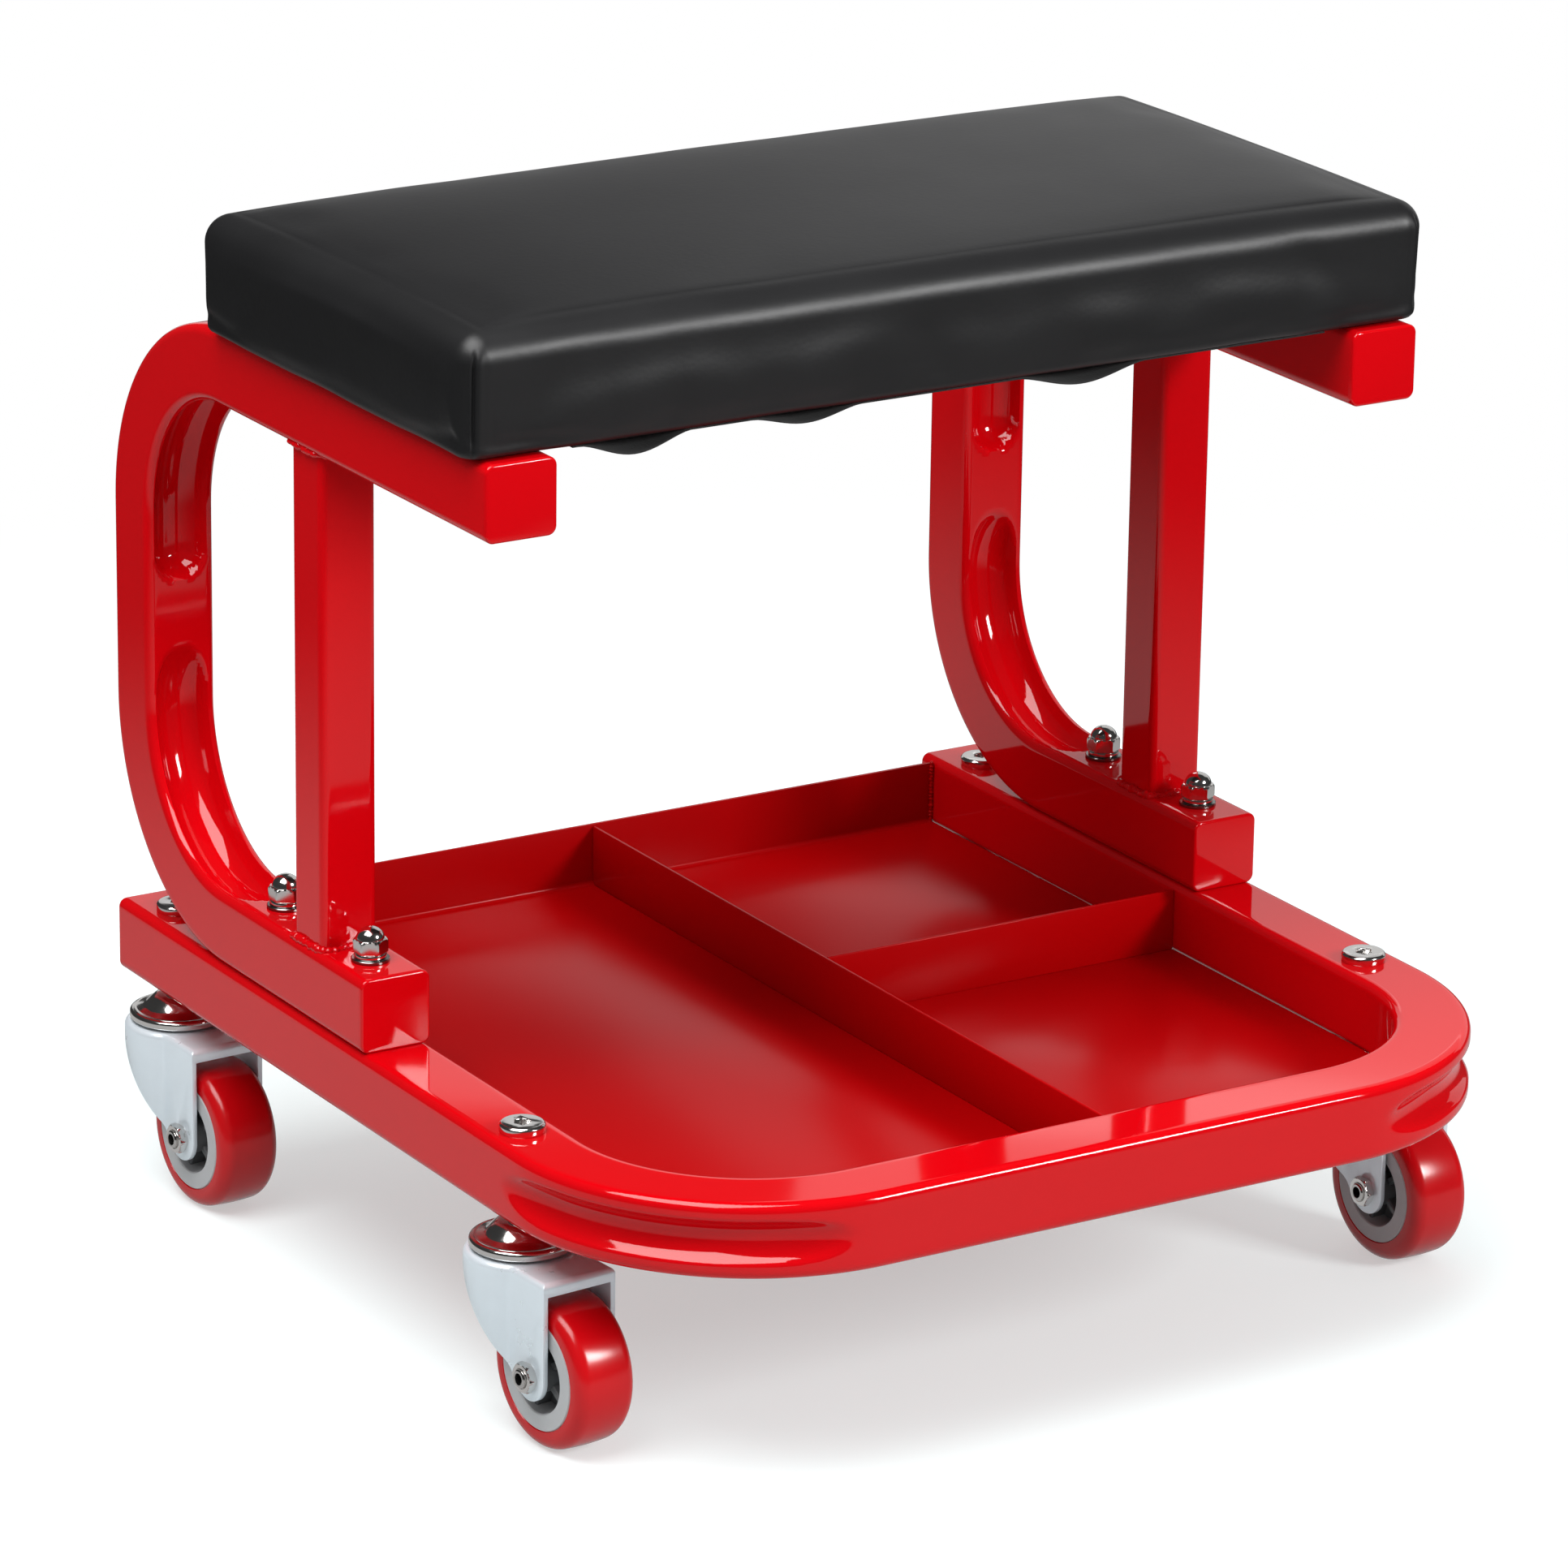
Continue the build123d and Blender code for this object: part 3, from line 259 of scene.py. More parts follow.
def finish(name):
    """A material by name. Its look: darkest and full colour, roughness, drift scale, grain, bump, other settings."""
    tone = bpy.context.scene.stool_finish
    steel, dim = darker(tone.nickel, 0.8), darker(tone.nickel, 0.35)
    metal, milky = {"Metallic": 1.0}, {"Metallic": 0.35}
    gloss, matt = {"Specular IOR Level": 0.5}, {"Specular IOR Level": 0.15}
    sheen = {"Sheen Weight": 0.1, "Sheen Roughness": 0.5}
    enamel_grain, plated_grain, tyre_grain = (300, 60, 0.1), (2500, 500, 0.4), (1200, 260, 0.35)
    wood = (0.45, 0.31, 0.18), (0.62, 0.47, 0.3)
    looks = {
        "red_enamel": (tone.enamel_deep, tone.enamel, (0.04, 0.07), 9, enamel_grain, (0.02, 0.2), gloss),
        # The tray's darker colour is painted shade for the seat's shadow in the tray
        "tray_enamel_with_painted_shade": (darker(tone.tray, 0.92), tone.tray, (0.2, 0.28), 9, enamel_grain, (0.04, 0.2), matt),
        "bright_nickel": (darker(tone.nickel, 0.92), tone.nickel, (0.1, 0.17), 240, plated_grain, (0.04, 0.1), metal),
        "dark_nickel": (darker(dim, 0.8), dim, (0.18, 0.28), 240, plated_grain, (0.05, 0.1), metal),
        "ball_steel": (darker(steel, 0.9), steel, (0.12, 0.2), 200, plated_grain, (0.03, 0.1), metal),
        "blue_zinc": (darker(tone.zinc, 0.93), tone.zinc, (0.24, 0.34), 120, (1800, 300, 0.5), (0.05, 0.1), milky),
        "red_polyurethane": (darker(tone.tyre, 0.9), tone.tyre, (0.17, 0.24), 60, tyre_grain, (0.03, 0.2), gloss),
        "ring_plastic": (darker(tone.ring, 0.93), tone.ring, (0.35, 0.45), 200, (1800, 500, 0.5), (0.08, 0.1), {}),
        "hub_plastic": (darker(tone.hub, 0.75), tone.hub, (0.28, 0.4), 160, (1800, 400, 0.5), (0.1, 0.1), {}),
        "bush_plastic": (darker(tone.ring, 0.8), tone.ring, (0.4, 0.5), 200, (1800, 500, 0.5), (0.05, 0.1), {}),
        "black_vinyl": (darker(tone.vinyl, 0.7), tone.vinyl, (0.39, 0.46), 30, (620, 240, 0.55), (0.14, 0.3), gloss),
        "black_cloth": (darker(tone.cloth, 0.6), tone.cloth, (0.75, 0.9), 80, (1600, 300, 0.7), (0.4, 0.2), sheen),
        "plywood": (*wood, (0.55, 0.7), 40, (400, 90, 0.4), (0.2, 0.2), {}),
    }
    return skin(name, *looks[name])


# Making meshes
def in_scene(name, data):
    """A new object in the scene."""
    holder = bpy.data.objects.new(name, data)
    bpy.context.scene.collection.objects.link(holder)
    return holder


def piece_from(name, mesh, look, smooth_angle=32):
    """Put a finished mesh in the scene as one piece, smooth but for edges sharper than an angle."""
    mesh.name = name
    mesh.materials.clear()
    mesh.materials.append(finish(look))
    mesh.shade_smooth()
    mesh.set_sharp_from_angle(angle=math.radians(smooth_angle))
    return in_scene(name, mesh)


def claim(piece, body, slot, *nodes):
    """Ride a piece on its body and hide the nodes that it stands for. Its slot is not used."""
    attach(piece, body)
    if nodes:
        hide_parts(*nodes)


def mesh_from(points, faces):
    """A mesh with its doubles merged and its faces outwards."""
    mesh = bpy.data.meshes.new("work")
    mesh.from_pydata([tuple(point) for point in points], [], faces)
    work = bmesh.new()
    work.from_mesh(mesh)
    bmesh.ops.remove_doubles(work, verts=work.verts, dist=1e-7)
    bmesh.ops.recalc_face_normals(work, faces=work.faces)
    work.to_mesh(mesh)
    work.free()
    return mesh


def stacked_rings(rings, closed=True):
    """A skin through rings of equally many points, closed by a face at both ends or joined end to end."""
    count = len(rings[0])
    points = [point for ring in rings for point in ring]
    faces = []
    last = len(rings) - 1 if closed else len(rings)
    for row in range(last):
        for step in range(count):
            ahead = (step + 1) % count
            below, above = row * count, ((row + 1) % len(rings)) * count
            faces.append((below + step, below + ahead, above + ahead, above + step))
    if closed:
        faces.append(tuple(reversed(range(count))))
        faces.append(tuple(range(last * count, (last + 1) * count)))
    return mesh_from(points, faces)


def turned(profile, segments=72):
    """A ring of material round Z. Its profile's points are radius and height."""
    rings = []
    for radius, height in profile:
        angles = [2 * math.pi * step / segments for step in range(segments)]
        rings.append([(radius * math.cos(angle), radius * math.sin(angle), height) for angle in angles])
    return stacked_rings(rings, False)


def clamped(value):
    """A value held between 0 and 1."""
    return min(1, max(0, value))


def hexagon_corner(flats):
    """Distance from a hexagon's middle to its corners, from its width across flats."""
    return flats / 2 / math.cos(math.pi / 6)


def turned_hexagon(levels, segments=96, closed=True):
    """A hexagonal shape round Z. Its levels are flats, the circle that cuts the corners off, and height."""
    rings = []
    for flats, limit, height in levels:
        ring = []
        for step in range(segments):
            angle = 2 * math.pi * step / segments
            within = (angle + math.pi / 6) % (math.pi / 3) - math.pi / 6
            reach = min(flats / 2 / math.cos(within), limit)
            ring.append((reach * math.cos(angle), reach * math.sin(angle), height))
        rings.append(ring)
    return stacked_rings(rings, closed)


def quarter(centre, radius, start, end, steps):
    """Points on an arc between two angles in degrees."""
    arc = []
    for step in range(steps + 1):
        angle = math.radians(start + (end - start) * step / steps)
        arc.append((centre[0] + radius * math.cos(angle), centre[1] + radius * math.sin(angle)))
    return arc


def joined(meshes):
    """One mesh from several."""
    work = bmesh.new()
    for mesh in meshes:
        work.from_mesh(mesh)
    result = bpy.data.meshes.new("work")
    work.to_mesh(result)
    work.free()
    return result


def placed(mesh, matrix):
    """A copy of a mesh, moved by a matrix."""
    copy = mesh.copy()
    copy.transform(matrix)
    return copy


def eased_copy(name, node, look, width):
    """A copy of a CAD node with its flat faces made whole and its sharp edges eased."""
    mesh = frame["nodes"][node].data.copy()
    work = bmesh.new()
    work.from_mesh(mesh)
    bmesh.ops.remove_doubles(work, verts=work.verts, dist=1e-6)
    bmesh.ops.dissolve_limit(work, angle_limit=math.radians(0.6), verts=work.verts, edges=work.edges)
    work.to_mesh(mesh)
    work.free()
    piece = in_scene(name, mesh)
    ease = piece.modifiers.new("Eased edges", "BEVEL")
    ease.width = width
    ease.segments = 2
    ease.limit_method = "ANGLE"
    ease.angle_limit = math.radians(34)
    return piece_from(name, settled(piece), look)


def settled(source):
    """The evaluated mesh of an object, which is then removed."""
    view = bpy.context.evaluated_depsgraph_get()
    mesh = bpy.data.meshes.new_from_object(source.evaluated_get(view), depsgraph=view)
    bpy.data.objects.remove(source)
    return mesh


def dress(node, look):
    """Give a CAD node that stays a better material."""
    for holder in frame["nodes"][node].material_slots:
        holder.material = finish(look)


# Geometry node trees
def geometry_tree(name, inputs):
    """A geometry tree with named inputs, what they give and its last node."""
    geometry = [("Geometry", "NodeSocketGeometry")]
    return new_tree("GeometryNodeTree", name, geometry + inputs, geometry)


def finish_tree(tree, geometry, given, sink):
    """End a tree in Realize Instances and Set Material."""
    real = add(tree, "GeometryNodeRealizeInstances", {"Geometry": geometry}).outputs["Geometry"]
    paint = add(tree, "GeometryNodeSetMaterial", {"Geometry": real, "Material": given["Material"]})
    feed(tree, sink, {"Geometry": paint.outputs["Geometry"]})


def run_tree(source, tree, values):
    """Put a tree on an object, set its inputs by identifier, and return the plain mesh that it makes."""
    modifier = source.modifiers.new(tree.name, "NODES")
    modifier.node_group = tree
    for item in tree.interface.items_tree:
        if item.in_out == "INPUT" and item.name in values:
            modifier[item.identifier] = values[item.name]
    return settled(source)


def pressed_tube_tree():
    """A rounded square tube along a filleted route, its wall pushed in by a round tool along a press line."""
    if "Pressed tube" in bpy.data.node_groups:
        return bpy.data.node_groups["Pressed tube"]
    inputs = [("Side", number), ("Corner", number), ("Bend radius", number), ("Station", number)]
    inputs += [("Press line", "NodeSocketObject"), ("Tool radius", number), ("Lip", number)]
    tree, given, sink = geometry_tree("Pressed tube", inputs + [("Material", "NodeSocketMaterial")])

    def filleted(curve, radius, count):
        inputs = {"Curve": curve, "Radius": radius, "Count": count}
        return add(tree, "GeometryNodeFilletCurve", inputs, mode="POLY").outputs["Curve"]

    def spaced(mode, inputs):
        return add(tree, "GeometryNodeResampleCurve", inputs, mode=mode).outputs["Curve"]

    def calculate(operation, *terms):
        return add(tree, "ShaderNodeMath", dict(enumerate(terms)), operation=operation).outputs[0]

    def vector(operation, output, inputs):
        return add(tree, "ShaderNodeVectorMath", inputs, operation=operation).outputs[output]

    route = filleted(given["Geometry"], given["Bend radius"], 40)
    stations = spaced("LENGTH", {"Curve": route, "Length": given["Station"]})
    square_inputs = {"Width": given["Side"], "Height": given["Side"]}
    square = add(tree, "GeometryNodeCurvePrimitiveQuadrilateral", square_inputs).outputs["Curve"]
    ring = spaced("COUNT", {"Curve": filleted(square, given["Corner"], 10), "Count": 128})
    tube = add(tree, "GeometryNodeCurveToMesh", {"Curve": stations, "Profile Curve": ring}).outputs["Mesh"]

    press = add(tree, "GeometryNodeObjectInfo", {"Object": given["Press line"]}).outputs["Geometry"]
    near = add(tree, "GeometryNodeProximity", {0: press}, target_element="EDGES").outputs
    place = add(tree, "GeometryNodeInputPosition").outputs["Position"]
    normal = add(tree, "GeometryNodeInputNormal").outputs["Normal"]
    inward = vector("SCALE", "Vector", {0: normal, "Scale": -1})
    reach = vector("SUBTRACT", "Vector", {0: place, 1: near["Position"]})
    height = vector("DOT_PRODUCT", "Value", {0: reach, 1: inward})
    distance, tool = near["Distance"], given["Tool radius"]
    distance_square = calculate("MULTIPLY", distance, distance)
    flat_square = calculate("SUBTRACT", distance_square, calculate("MULTIPLY", height, height))
    lateral = calculate("SQRT", calculate("MAXIMUM", flat_square, 0))
    tool_square = calculate("MULTIPLY", tool, tool)
    inside_square = calculate("SUBTRACT", tool_square, calculate("MULTIPLY", lateral, lateral))
    inside = calculate("SQRT", calculate("MAXIMUM", inside_square, 0))
    outside = calculate("MAXIMUM", calculate("SUBTRACT", lateral, tool), 0)
    push = calculate("SUBTRACT", calculate("SUBTRACT", inside, outside), height)
    eased = calculate("SMOOTH_MAX", push, 0, given["Lip"])
    facing = calculate("GREATER_THAN", height, 0)
    amount = calculate("MULTIPLY", eased, calculate("MULTIPLY", facing, near["Is Valid"]))
    shift = vector("SCALE", "Vector", {0: inward, "Scale": amount})
    pressed = add(tree, "GeometryNodeSetPosition", {"Geometry": tube, "Offset": shift})
    finish_tree(tree, pressed.outputs["Geometry"], given, sink)
    return tree


def row_tree():
    """One fastener set on every point of a pattern."""
    if "Fastener row" in bpy.data.node_groups:
        return bpy.data.node_groups["Fastener row"]
    inputs = [("Fastener", "NodeSocketObject"), ("Material", "NodeSocketMaterial")]
    tree, given, sink = geometry_tree("Fastener row", inputs)
    fastener = add(tree, "GeometryNodeObjectInfo", {"Object": given["Fastener"]}).outputs["Geometry"]
    spread = add(tree, "GeometryNodeInstanceOnPoints", {"Points": given["Geometry"], "Instance": fastener})
    finish_tree(tree, spread.outputs["Instances"], given, sink)
    return tree


def bead_tree():
    """A weld bead: overlapping drops of slightly different size along a seam, melted into one skin."""
    if "Weld bead" in bpy.data.node_groups:
        return bpy.data.node_groups["Weld bead"]
    inputs = [("Radius", number), ("Pitch", number), ("Seed", "NodeSocketInt"), ("Voxel", number)]
    tree, given, sink = geometry_tree("Weld bead", inputs + [("Material", "NodeSocketMaterial")])
    seam_inputs = {"Curve": given["Geometry"], "Length": given["Pitch"]}
    seam = add(tree, "GeometryNodeResampleCurve", seam_inputs, mode="LENGTH").outputs["Curve"]
    drop_inputs = {"Radius": given["Radius"], "Subdivisions": 3}
    drop = add(tree, "GeometryNodeMeshIcoSphere", drop_inputs).outputs["Mesh"]
    size_inputs = {0: (0.75, 0.75, 0.6), 1: (1.2, 1.2, 1.1), "Seed": given["Seed"]}
    size = add(tree, "FunctionNodeRandomValue", size_inputs, data_type="FLOAT_VECTOR").outputs[0]
    spread = add(tree, "GeometryNodeInstanceOnPoints", {"Points": seam, "Instance": drop, "Scale": size})
    real = add(tree, "GeometryNodeRealizeInstances", {"Geometry": spread.outputs["Instances"]})
    melt_inputs = {"Mesh": real.outputs["Geometry"], "Voxel Size": given["Voxel"]}
    melt = add(tree, "GeometryNodeMeshToVolume", melt_inputs, resolution_mode="VOXEL_SIZE")
    melted = add(tree, "GeometryNodeVolumeToMesh", {"Volume": melt.outputs["Volume"]})
    finish_tree(tree, melted.outputs["Mesh"], given, sink)
    return tree


def route_object(name, points, cyclic=False):
    """A curve of straight runs through points."""
    curve = bpy.data.curves.new(name, "CURVE")
    curve.dimensions = "3D"
    line = curve.splines.new("POLY")
    line.points.add(len(points) - 1)
    for knot, point in zip(line.points, points):
        knot.co = (*point, 1)
    line.use_cyclic_u = cyclic
    return in_scene(name, curve)


def line_object(name, runs):
    """Edges through runs of points, which a tree reads as one press line or a pattern of points."""
    mesh = bpy.data.meshes.new(name)
    points, edges = [], []
    for run in runs:
        first = len(points)
        points += [tuple(point) for point in run]
        edges += [(first + step, first + step + 1) for step in range(len(run) - 1)]
    mesh.from_pydata(points, edges, [])
    return in_scene(name, mesh)


def row_of(name, points, fastener_mesh, look, smooth_angle=32):
    """A piece with one fastener on each point."""
    fastener = in_scene("one_fastener", fastener_mesh)
    pattern = line_object("pattern", [[point] for point in points])
    mesh = run_tree(pattern, row_tree(), {"Fastener": fastener, "Material": finish(look)})
    bpy.data.objects.remove(fastener)
    return piece_from(name, mesh, look, smooth_angle)


def bead_piece(name, seams, cyclic, values, look, *nodes):
    """A piece of weld beads, one along each seam."""
    beads = []
    for place, seam in enumerate(seams):
        own = {"Seed": values["Seed"] + place, "Material": finish(look)}
        beads.append(run_tree(route_object("seam", seam, cyclic), bead_tree(), {**values, **own}))
    claim(piece_from(name, joined(beads), look, 180), root_body, "red_enamel", *nodes)


def tool_radius(width, depth):
    """Radius of the round tool that leaves a channel of this width and depth."""
    return (depth**2 + (width / 2) ** 2) / (2 * depth)


def tube_piece(name, points, bend, corner, side, press_runs, tool):
    """A tube along a route, pressed along the runs of its press line."""
    tubes = bpy.context.scene.stool_tubes
    route = route_object("route", points)
    values = {"Side": side, "Corner": corner, "Bend radius": bend, "Station": tubes.station}
    values.update({"Tool radius": tool, "Lip": tubes.lip, "Material": finish("red_enamel")})
    if press_runs:
        values["Press line"] = line_object("press_line", press_runs)
    mesh = run_tree(route, pressed_tube_tree(), values)
    if press_runs:
        bpy.data.objects.remove(values["Press line"])
    return piece_from(name, mesh, "red_enamel", 60)


def inset_square(centre, side, corner, inset, level, per_corner=10):
    """A rounded square ring in plan, drawn in by an inset, at one level along Z."""
    reach = side / 2 - corner
    ring = []
    for turn, (sx, sy) in enumerate(((1, 1), (-1, 1), (-1, -1), (1, -1))):
        for step in range(per_corner + 1):
            angle = math.radians(90 * turn + 90 * step / per_corner)
            radius = corner - inset
            ring.append((sx * reach + radius * math.cos(angle), sy * reach + radius * math.sin(angle), level))
    return [(centre[0] + x, centre[1] + y, centre[2] + z) for x, y, z in ring]


def end_plate_mesh(side, corner, thickness, edge):
    """A plate that closes a tube, its outer edge rounded. It lies in the XY plane and faces up."""
    levels = [(0, 0)]
    for inset_share, rise in quarter((0, 0), 1, 0, 90, 5):
        levels.append((edge * (1 - inset_share), thickness - edge + edge * rise))
    rings = [inset_square((0, 0, 0), side, corner, inset, level) for inset, level in levels]
    return stacked_rings(rings)


def leaving_point(point, heading, run):
    """Where a straight run from a point ends, its heading in degrees from Y toward X."""
    turn = math.radians(heading)
    return point[0] + run * math.sin(turn), point[1] + run * math.cos(turn)


# Frame, tray and fasteners
class STOOL_OT_base_rail(bpy.types.Operator):
    """Bend the base rail and press the groove round its two front corners"""

    bl_idname = "stool.base_rail"
    bl_label = "Base rail"

    def execute(self, context):
        tubes = context.scene.stool_tubes
        low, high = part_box("base_frame")
        half = tubes.side / 2
        axis_z = (low.z + high.z) / 2
        points = [
            (low.x + half, high.y, axis_z),
            (low.x + half, low.y + half, axis_z),
            (high.x - half, low.y + half, axis_z),
            (high.x - half, high.y, axis_z),
        ]
        tool = tool_radius(tubes.groove_width, tubes.groove_depth)
        ring = tubes.rail_bend + tool - tubes.groove_depth
        centre_y = low.y + tubes.rail_bend
        run = quarter((0, 0), ring, 180 + tubes.groove_start, 270 - tubes.groove_end, 40)
        first = leaving_point(run[0], -tubes.groove_start, tubes.groove_run)
        last = leaving_point(run[-1], 90 + tubes.groove_end, tubes.groove_run)
        run = [first] + run + [last]
        runs = []
        for side in (-1, 1):
            centre_x = side * (high.x - tubes.rail_bend)
            runs.append([(centre_x - side * x, centre_y + y, axis_z) for x, y in run])
        bend = tubes.rail_bend - half
        piece = tube_piece("base_rail", points, bend, tubes.corner, tubes.side, runs, tool)
        claim(piece, root_body, "red_enamel", "base_frame")
        return {"FINISHED"}


class STOOL_OT_side_frames(bpy.types.Operator):
    """Bend the two side frames and press the channels into their bends"""

    bl_idname = "stool.side_frames"
    bl_label = "Side frames"

    def execute(self, context):
        tubes = context.scene.stool_tubes
        half = tubes.side / 2
        tool = tool_radius(tubes.channel_width, tubes.channel_depth)
        ring = tubes.frame_bend - tubes.side - tool + tubes.channel_depth
        lower_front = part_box("side_frame_end_plates")[1].y
        for name in sides:
            low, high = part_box(name + "_side_frame")
            axis_x = (low.x + high.x) / 2
            points = [
                (axis_x, lower_front, low.z + half),
                (axis_x, high.y - half, low.z + half),
                (axis_x, high.y - half, high.z - half),
                (axis_x, low.y, high.z - half),
            ]
            centre_y = high.y - tubes.frame_bend
            lower_z, upper_z = low.z + tubes.frame_bend, high.z - tubes.frame_bend
            leg_end, back_end = tool - tubes.leg_run, tubes.back_run - tool
            upper = [(leg_end, ring)] + quarter((0, 0), ring, 90, 0, 40) + [(ring, -back_end)]
            lower = [(leg_end, -ring)] + quarter((0, 0), ring, 270, 360, 40)
            lower += quarter((ring - tubes.channel_fade, 0), tubes.channel_fade, 0, 62, 16)
            runs = [
                [(axis_x, centre_y + y, upper_z + z) for y, z in upper],
                [(axis_x, centre_y + y, lower_z + z) for y, z in lower],
            ]
            bend = tubes.frame_bend - half
            piece = tube_piece(name + "_bent_frame", points, bend, tubes.corner, tubes.side, runs, tool)
            claim(piece, root_body, "red_enamel", name + "_side_frame")
        return {"FINISHED"}


class STOOL_OT_end_plates(bpy.types.Operator):
    """Close the tube ends with plates whose edges are rounded"""

    bl_idname = "stool.end_plates"
    bl_label = "End plates"

    def execute(self, context):
        tubes = context.scene.stool_tubes
        half = tubes.side / 2
        low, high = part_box("base_end_caps")
        thickness = high.y - low.y
        plate = end_plate_mesh(tubes.side, tubes.corner, thickness, tubes.plate_edge)
        back = Matrix.Rotation(math.radians(-90), 4, "X")
        front = Matrix.Rotation(math.radians(90), 4, "X")
        plates = []
        for x in (low.x + half, high.x - half):
            plates.append(placed(plate, Matrix.Translation((x, low.y, low.z + half)) @ back))
        claim(piece_from("rail_end_plates", joined(plates), "red_enamel"), root_body, "red_enamel", "base_end_caps")
        low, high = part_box("side_frame_end_plates")
        plates = []
        for x in (low.x + half, high.x - half):
            for y, z in ((high.y, low.z + half), (low.y + thickness, high.z - half)):
                plates.append(placed(plate, Matrix.Translation((x, y, z)) @ front))
        piece = piece_from("side_frame_plates", joined(plates), "red_enamel")
        claim(piece, root_body, "red_enamel", "side_frame_end_plates")
        return {"FINISHED"}


class STOOL_OT_struts(bpy.types.Operator):
    """Set the struts between the legs and run weld beads round their ends"""

    bl_idname = "stool.struts"
    bl_label = "Struts and welds"

    def execute(self, context):
        tubes = context.scene.stool_tubes
        outside, per_corner = -0.4 * mm, 4
        seams = []
        for name in sides:
            low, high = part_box(name + "_strut")
            x, y = (low.x + high.x) / 2, (low.y + high.y) / 2
            side = high.x - low.x
            points = [(x, y, low.z), (x, y, high.z)]
            piece = tube_piece(name + "_upright", points, 0, tubes.strut_corner, side, [], 1)
            claim(piece, root_body, "red_enamel", name + "_strut")
            for level in (low.z, high.z):
                seams.append(inset_square((x, y, level), side, tubes.strut_corner, outside, 0, per_corner))
        values = {"Radius": tubes.weld_bead, "Pitch": 2.1 * mm, "Seed": 0, "Voxel": 0.35 * mm}
        bead_piece("strut_weld_beads", seams, True, values, "red_enamel", "strut_welds")
        return {"FINISHED"}


class STOOL_OT_tray(bpy.types.Operator):
    """Copy the tray's pan and dividers with eased edges and run weld beads up its back corners"""

    bl_idname = "stool.tray"
    bl_label = "Tool tray"

    def execute(self, context):
        # The pan, the dividers and their weld beads take the darker tray colour, which is painted shade
        for node in ("tray_pan", "tray_long_divider", "tray_cross_divider"):
            claim(eased_copy(node + "_sheet", node, "tray_enamel_with_painted_shade", 0.35 * mm), root_body, "red_enamel", node)
        low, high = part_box("tray_pan")
        side_inset, back_inset = 0.5 * mm, 1.6 * mm
        back_y = high.y - back_inset
        seams = []
        for x in (low.x + side_inset, high.x - side_inset):
            seams.append([(x, back_y, low.z), (x, back_y, high.z)])
        values = {"Radius": 0.9 * mm, "Pitch": 1.2 * mm, "Seed": 20, "Voxel": 0.25 * mm}
        bead_piece("tray_weld_beads", seams, False, values, "tray_enamel_with_painted_shade")
        return {"FINISHED"}


def washer_mesh(radius, bore, thickness):
    """Flat washer, softly rounded on top and chamfered below."""
    bevel, rounding, chamfer = 0.1 * mm, 0.25 * mm, 0.2 * mm
    profile = [(bore, bevel), (bore, thickness - bevel), (bore + bevel, thickness)]
    profile += [(radius - rounding, thickness), (radius, thickness - rounding), (radius, chamfer)]
    profile += [(radius - chamfer, 0), (bore + bevel, 0)]
    return turned(profile)


def cap_nut_mesh(flats, hex_height, height):
    """Domed cap nut: chamfered hexagon foot, hexagon, flange and ball top."""
    corner = hexagon_corner(flats)
    levels = [
        (flats * 0.96, corner * 0.95, 0),
        (flats, corner * 0.985, 0.25 * mm),
        (flats, corner, 0.7 * mm),
        (flats, corner, hex_height - 1.0 * mm),
        (flats, corner * 0.97, hex_height - 0.4 * mm),
        (flats, corner * 0.9, hex_height),
        (flats, corner * 0.86, hex_height + 0.08 * mm),
    ]
    dome = height - hex_height
    reach = flats * 0.46
    for across, rise in quarter((0, 0), 1, 0, 84, 12):
        levels.append((flats * 2, reach * across, hex_height + 0.1 * mm + (dome - 0.1 * mm) * rise))
    return turned_hexagon(levels)


class STOOL_OT_frame_fasteners(bpy.types.Operator):
    """Set the cap nuts, washers and bolts of the side frames, and the sleeve nuts of the casters"""

    bl_idname = "stool.frame_fasteners"
    bl_label = "Frame fasteners"

    def execute(self, context):
        low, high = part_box("side_frame_washers")
        radius, bore, nut_flats, hex_height = 6.25 * mm, 3.3 * mm, 10 * mm, 4.6 * mm
        xs, ys = (low.x + radius, high.x - radius), (low.y + radius, high.y - radius)
        spots = [(x, y, low.z) for x in xs for y in ys]
        washer = washer_mesh(radius, bore, high.z - low.z)
        low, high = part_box("side_frame_cap_nuts")
        nut_spots = [(x, y, low.z) for x, y, _ in spots]
        nut = cap_nut_mesh(nut_flats, hex_height, high.z - low.z)
        pieces = {
            "side_frame_washers": row_of("flat_washers", spots, washer, "dark_nickel"),
            "side_frame_cap_nuts": row_of("cap_nuts", nut_spots, nut, "bright_nickel", 28),
        }
        for name, node, width in (
            ("spring_washers", "side_frame_spring_washers", 0.25 * mm),
            ("carriage_bolts", "side_frame_bolts", 0.3 * mm),
            ("sleeve_nuts", "caster_sleeve_nuts", 0.22 * mm),
        ):
            pieces[node] = eased_copy(name, node, "bright_nickel", width)
        for node, piece in pieces.items():
            claim(piece, root_body, "bright_plated_steel", node)
        return {"FINISHED"}


class STOOL_OT_seat_fasteners(bpy.types.Operator):
    """Finish the bolts, washers, tee nuts and staples under the seat"""

    bl_idname = "stool.seat_fasteners"
    bl_label = "Seat fasteners"

    def execute(self, context):
        for node, width in (("seat_bolts", 0.3 * mm), ("seat_bolt_washers", 0.2 * mm)):
            claim(eased_copy(node + "_eased", node, "blue_zinc", width), root_body, "zinc_plated_steel", node)
        dress("seat_tee_nuts", "blue_zinc")
        dress("seat_staples", "ball_steel")
        dress("seat_board", "plywood")
        return {"FINISHED"}


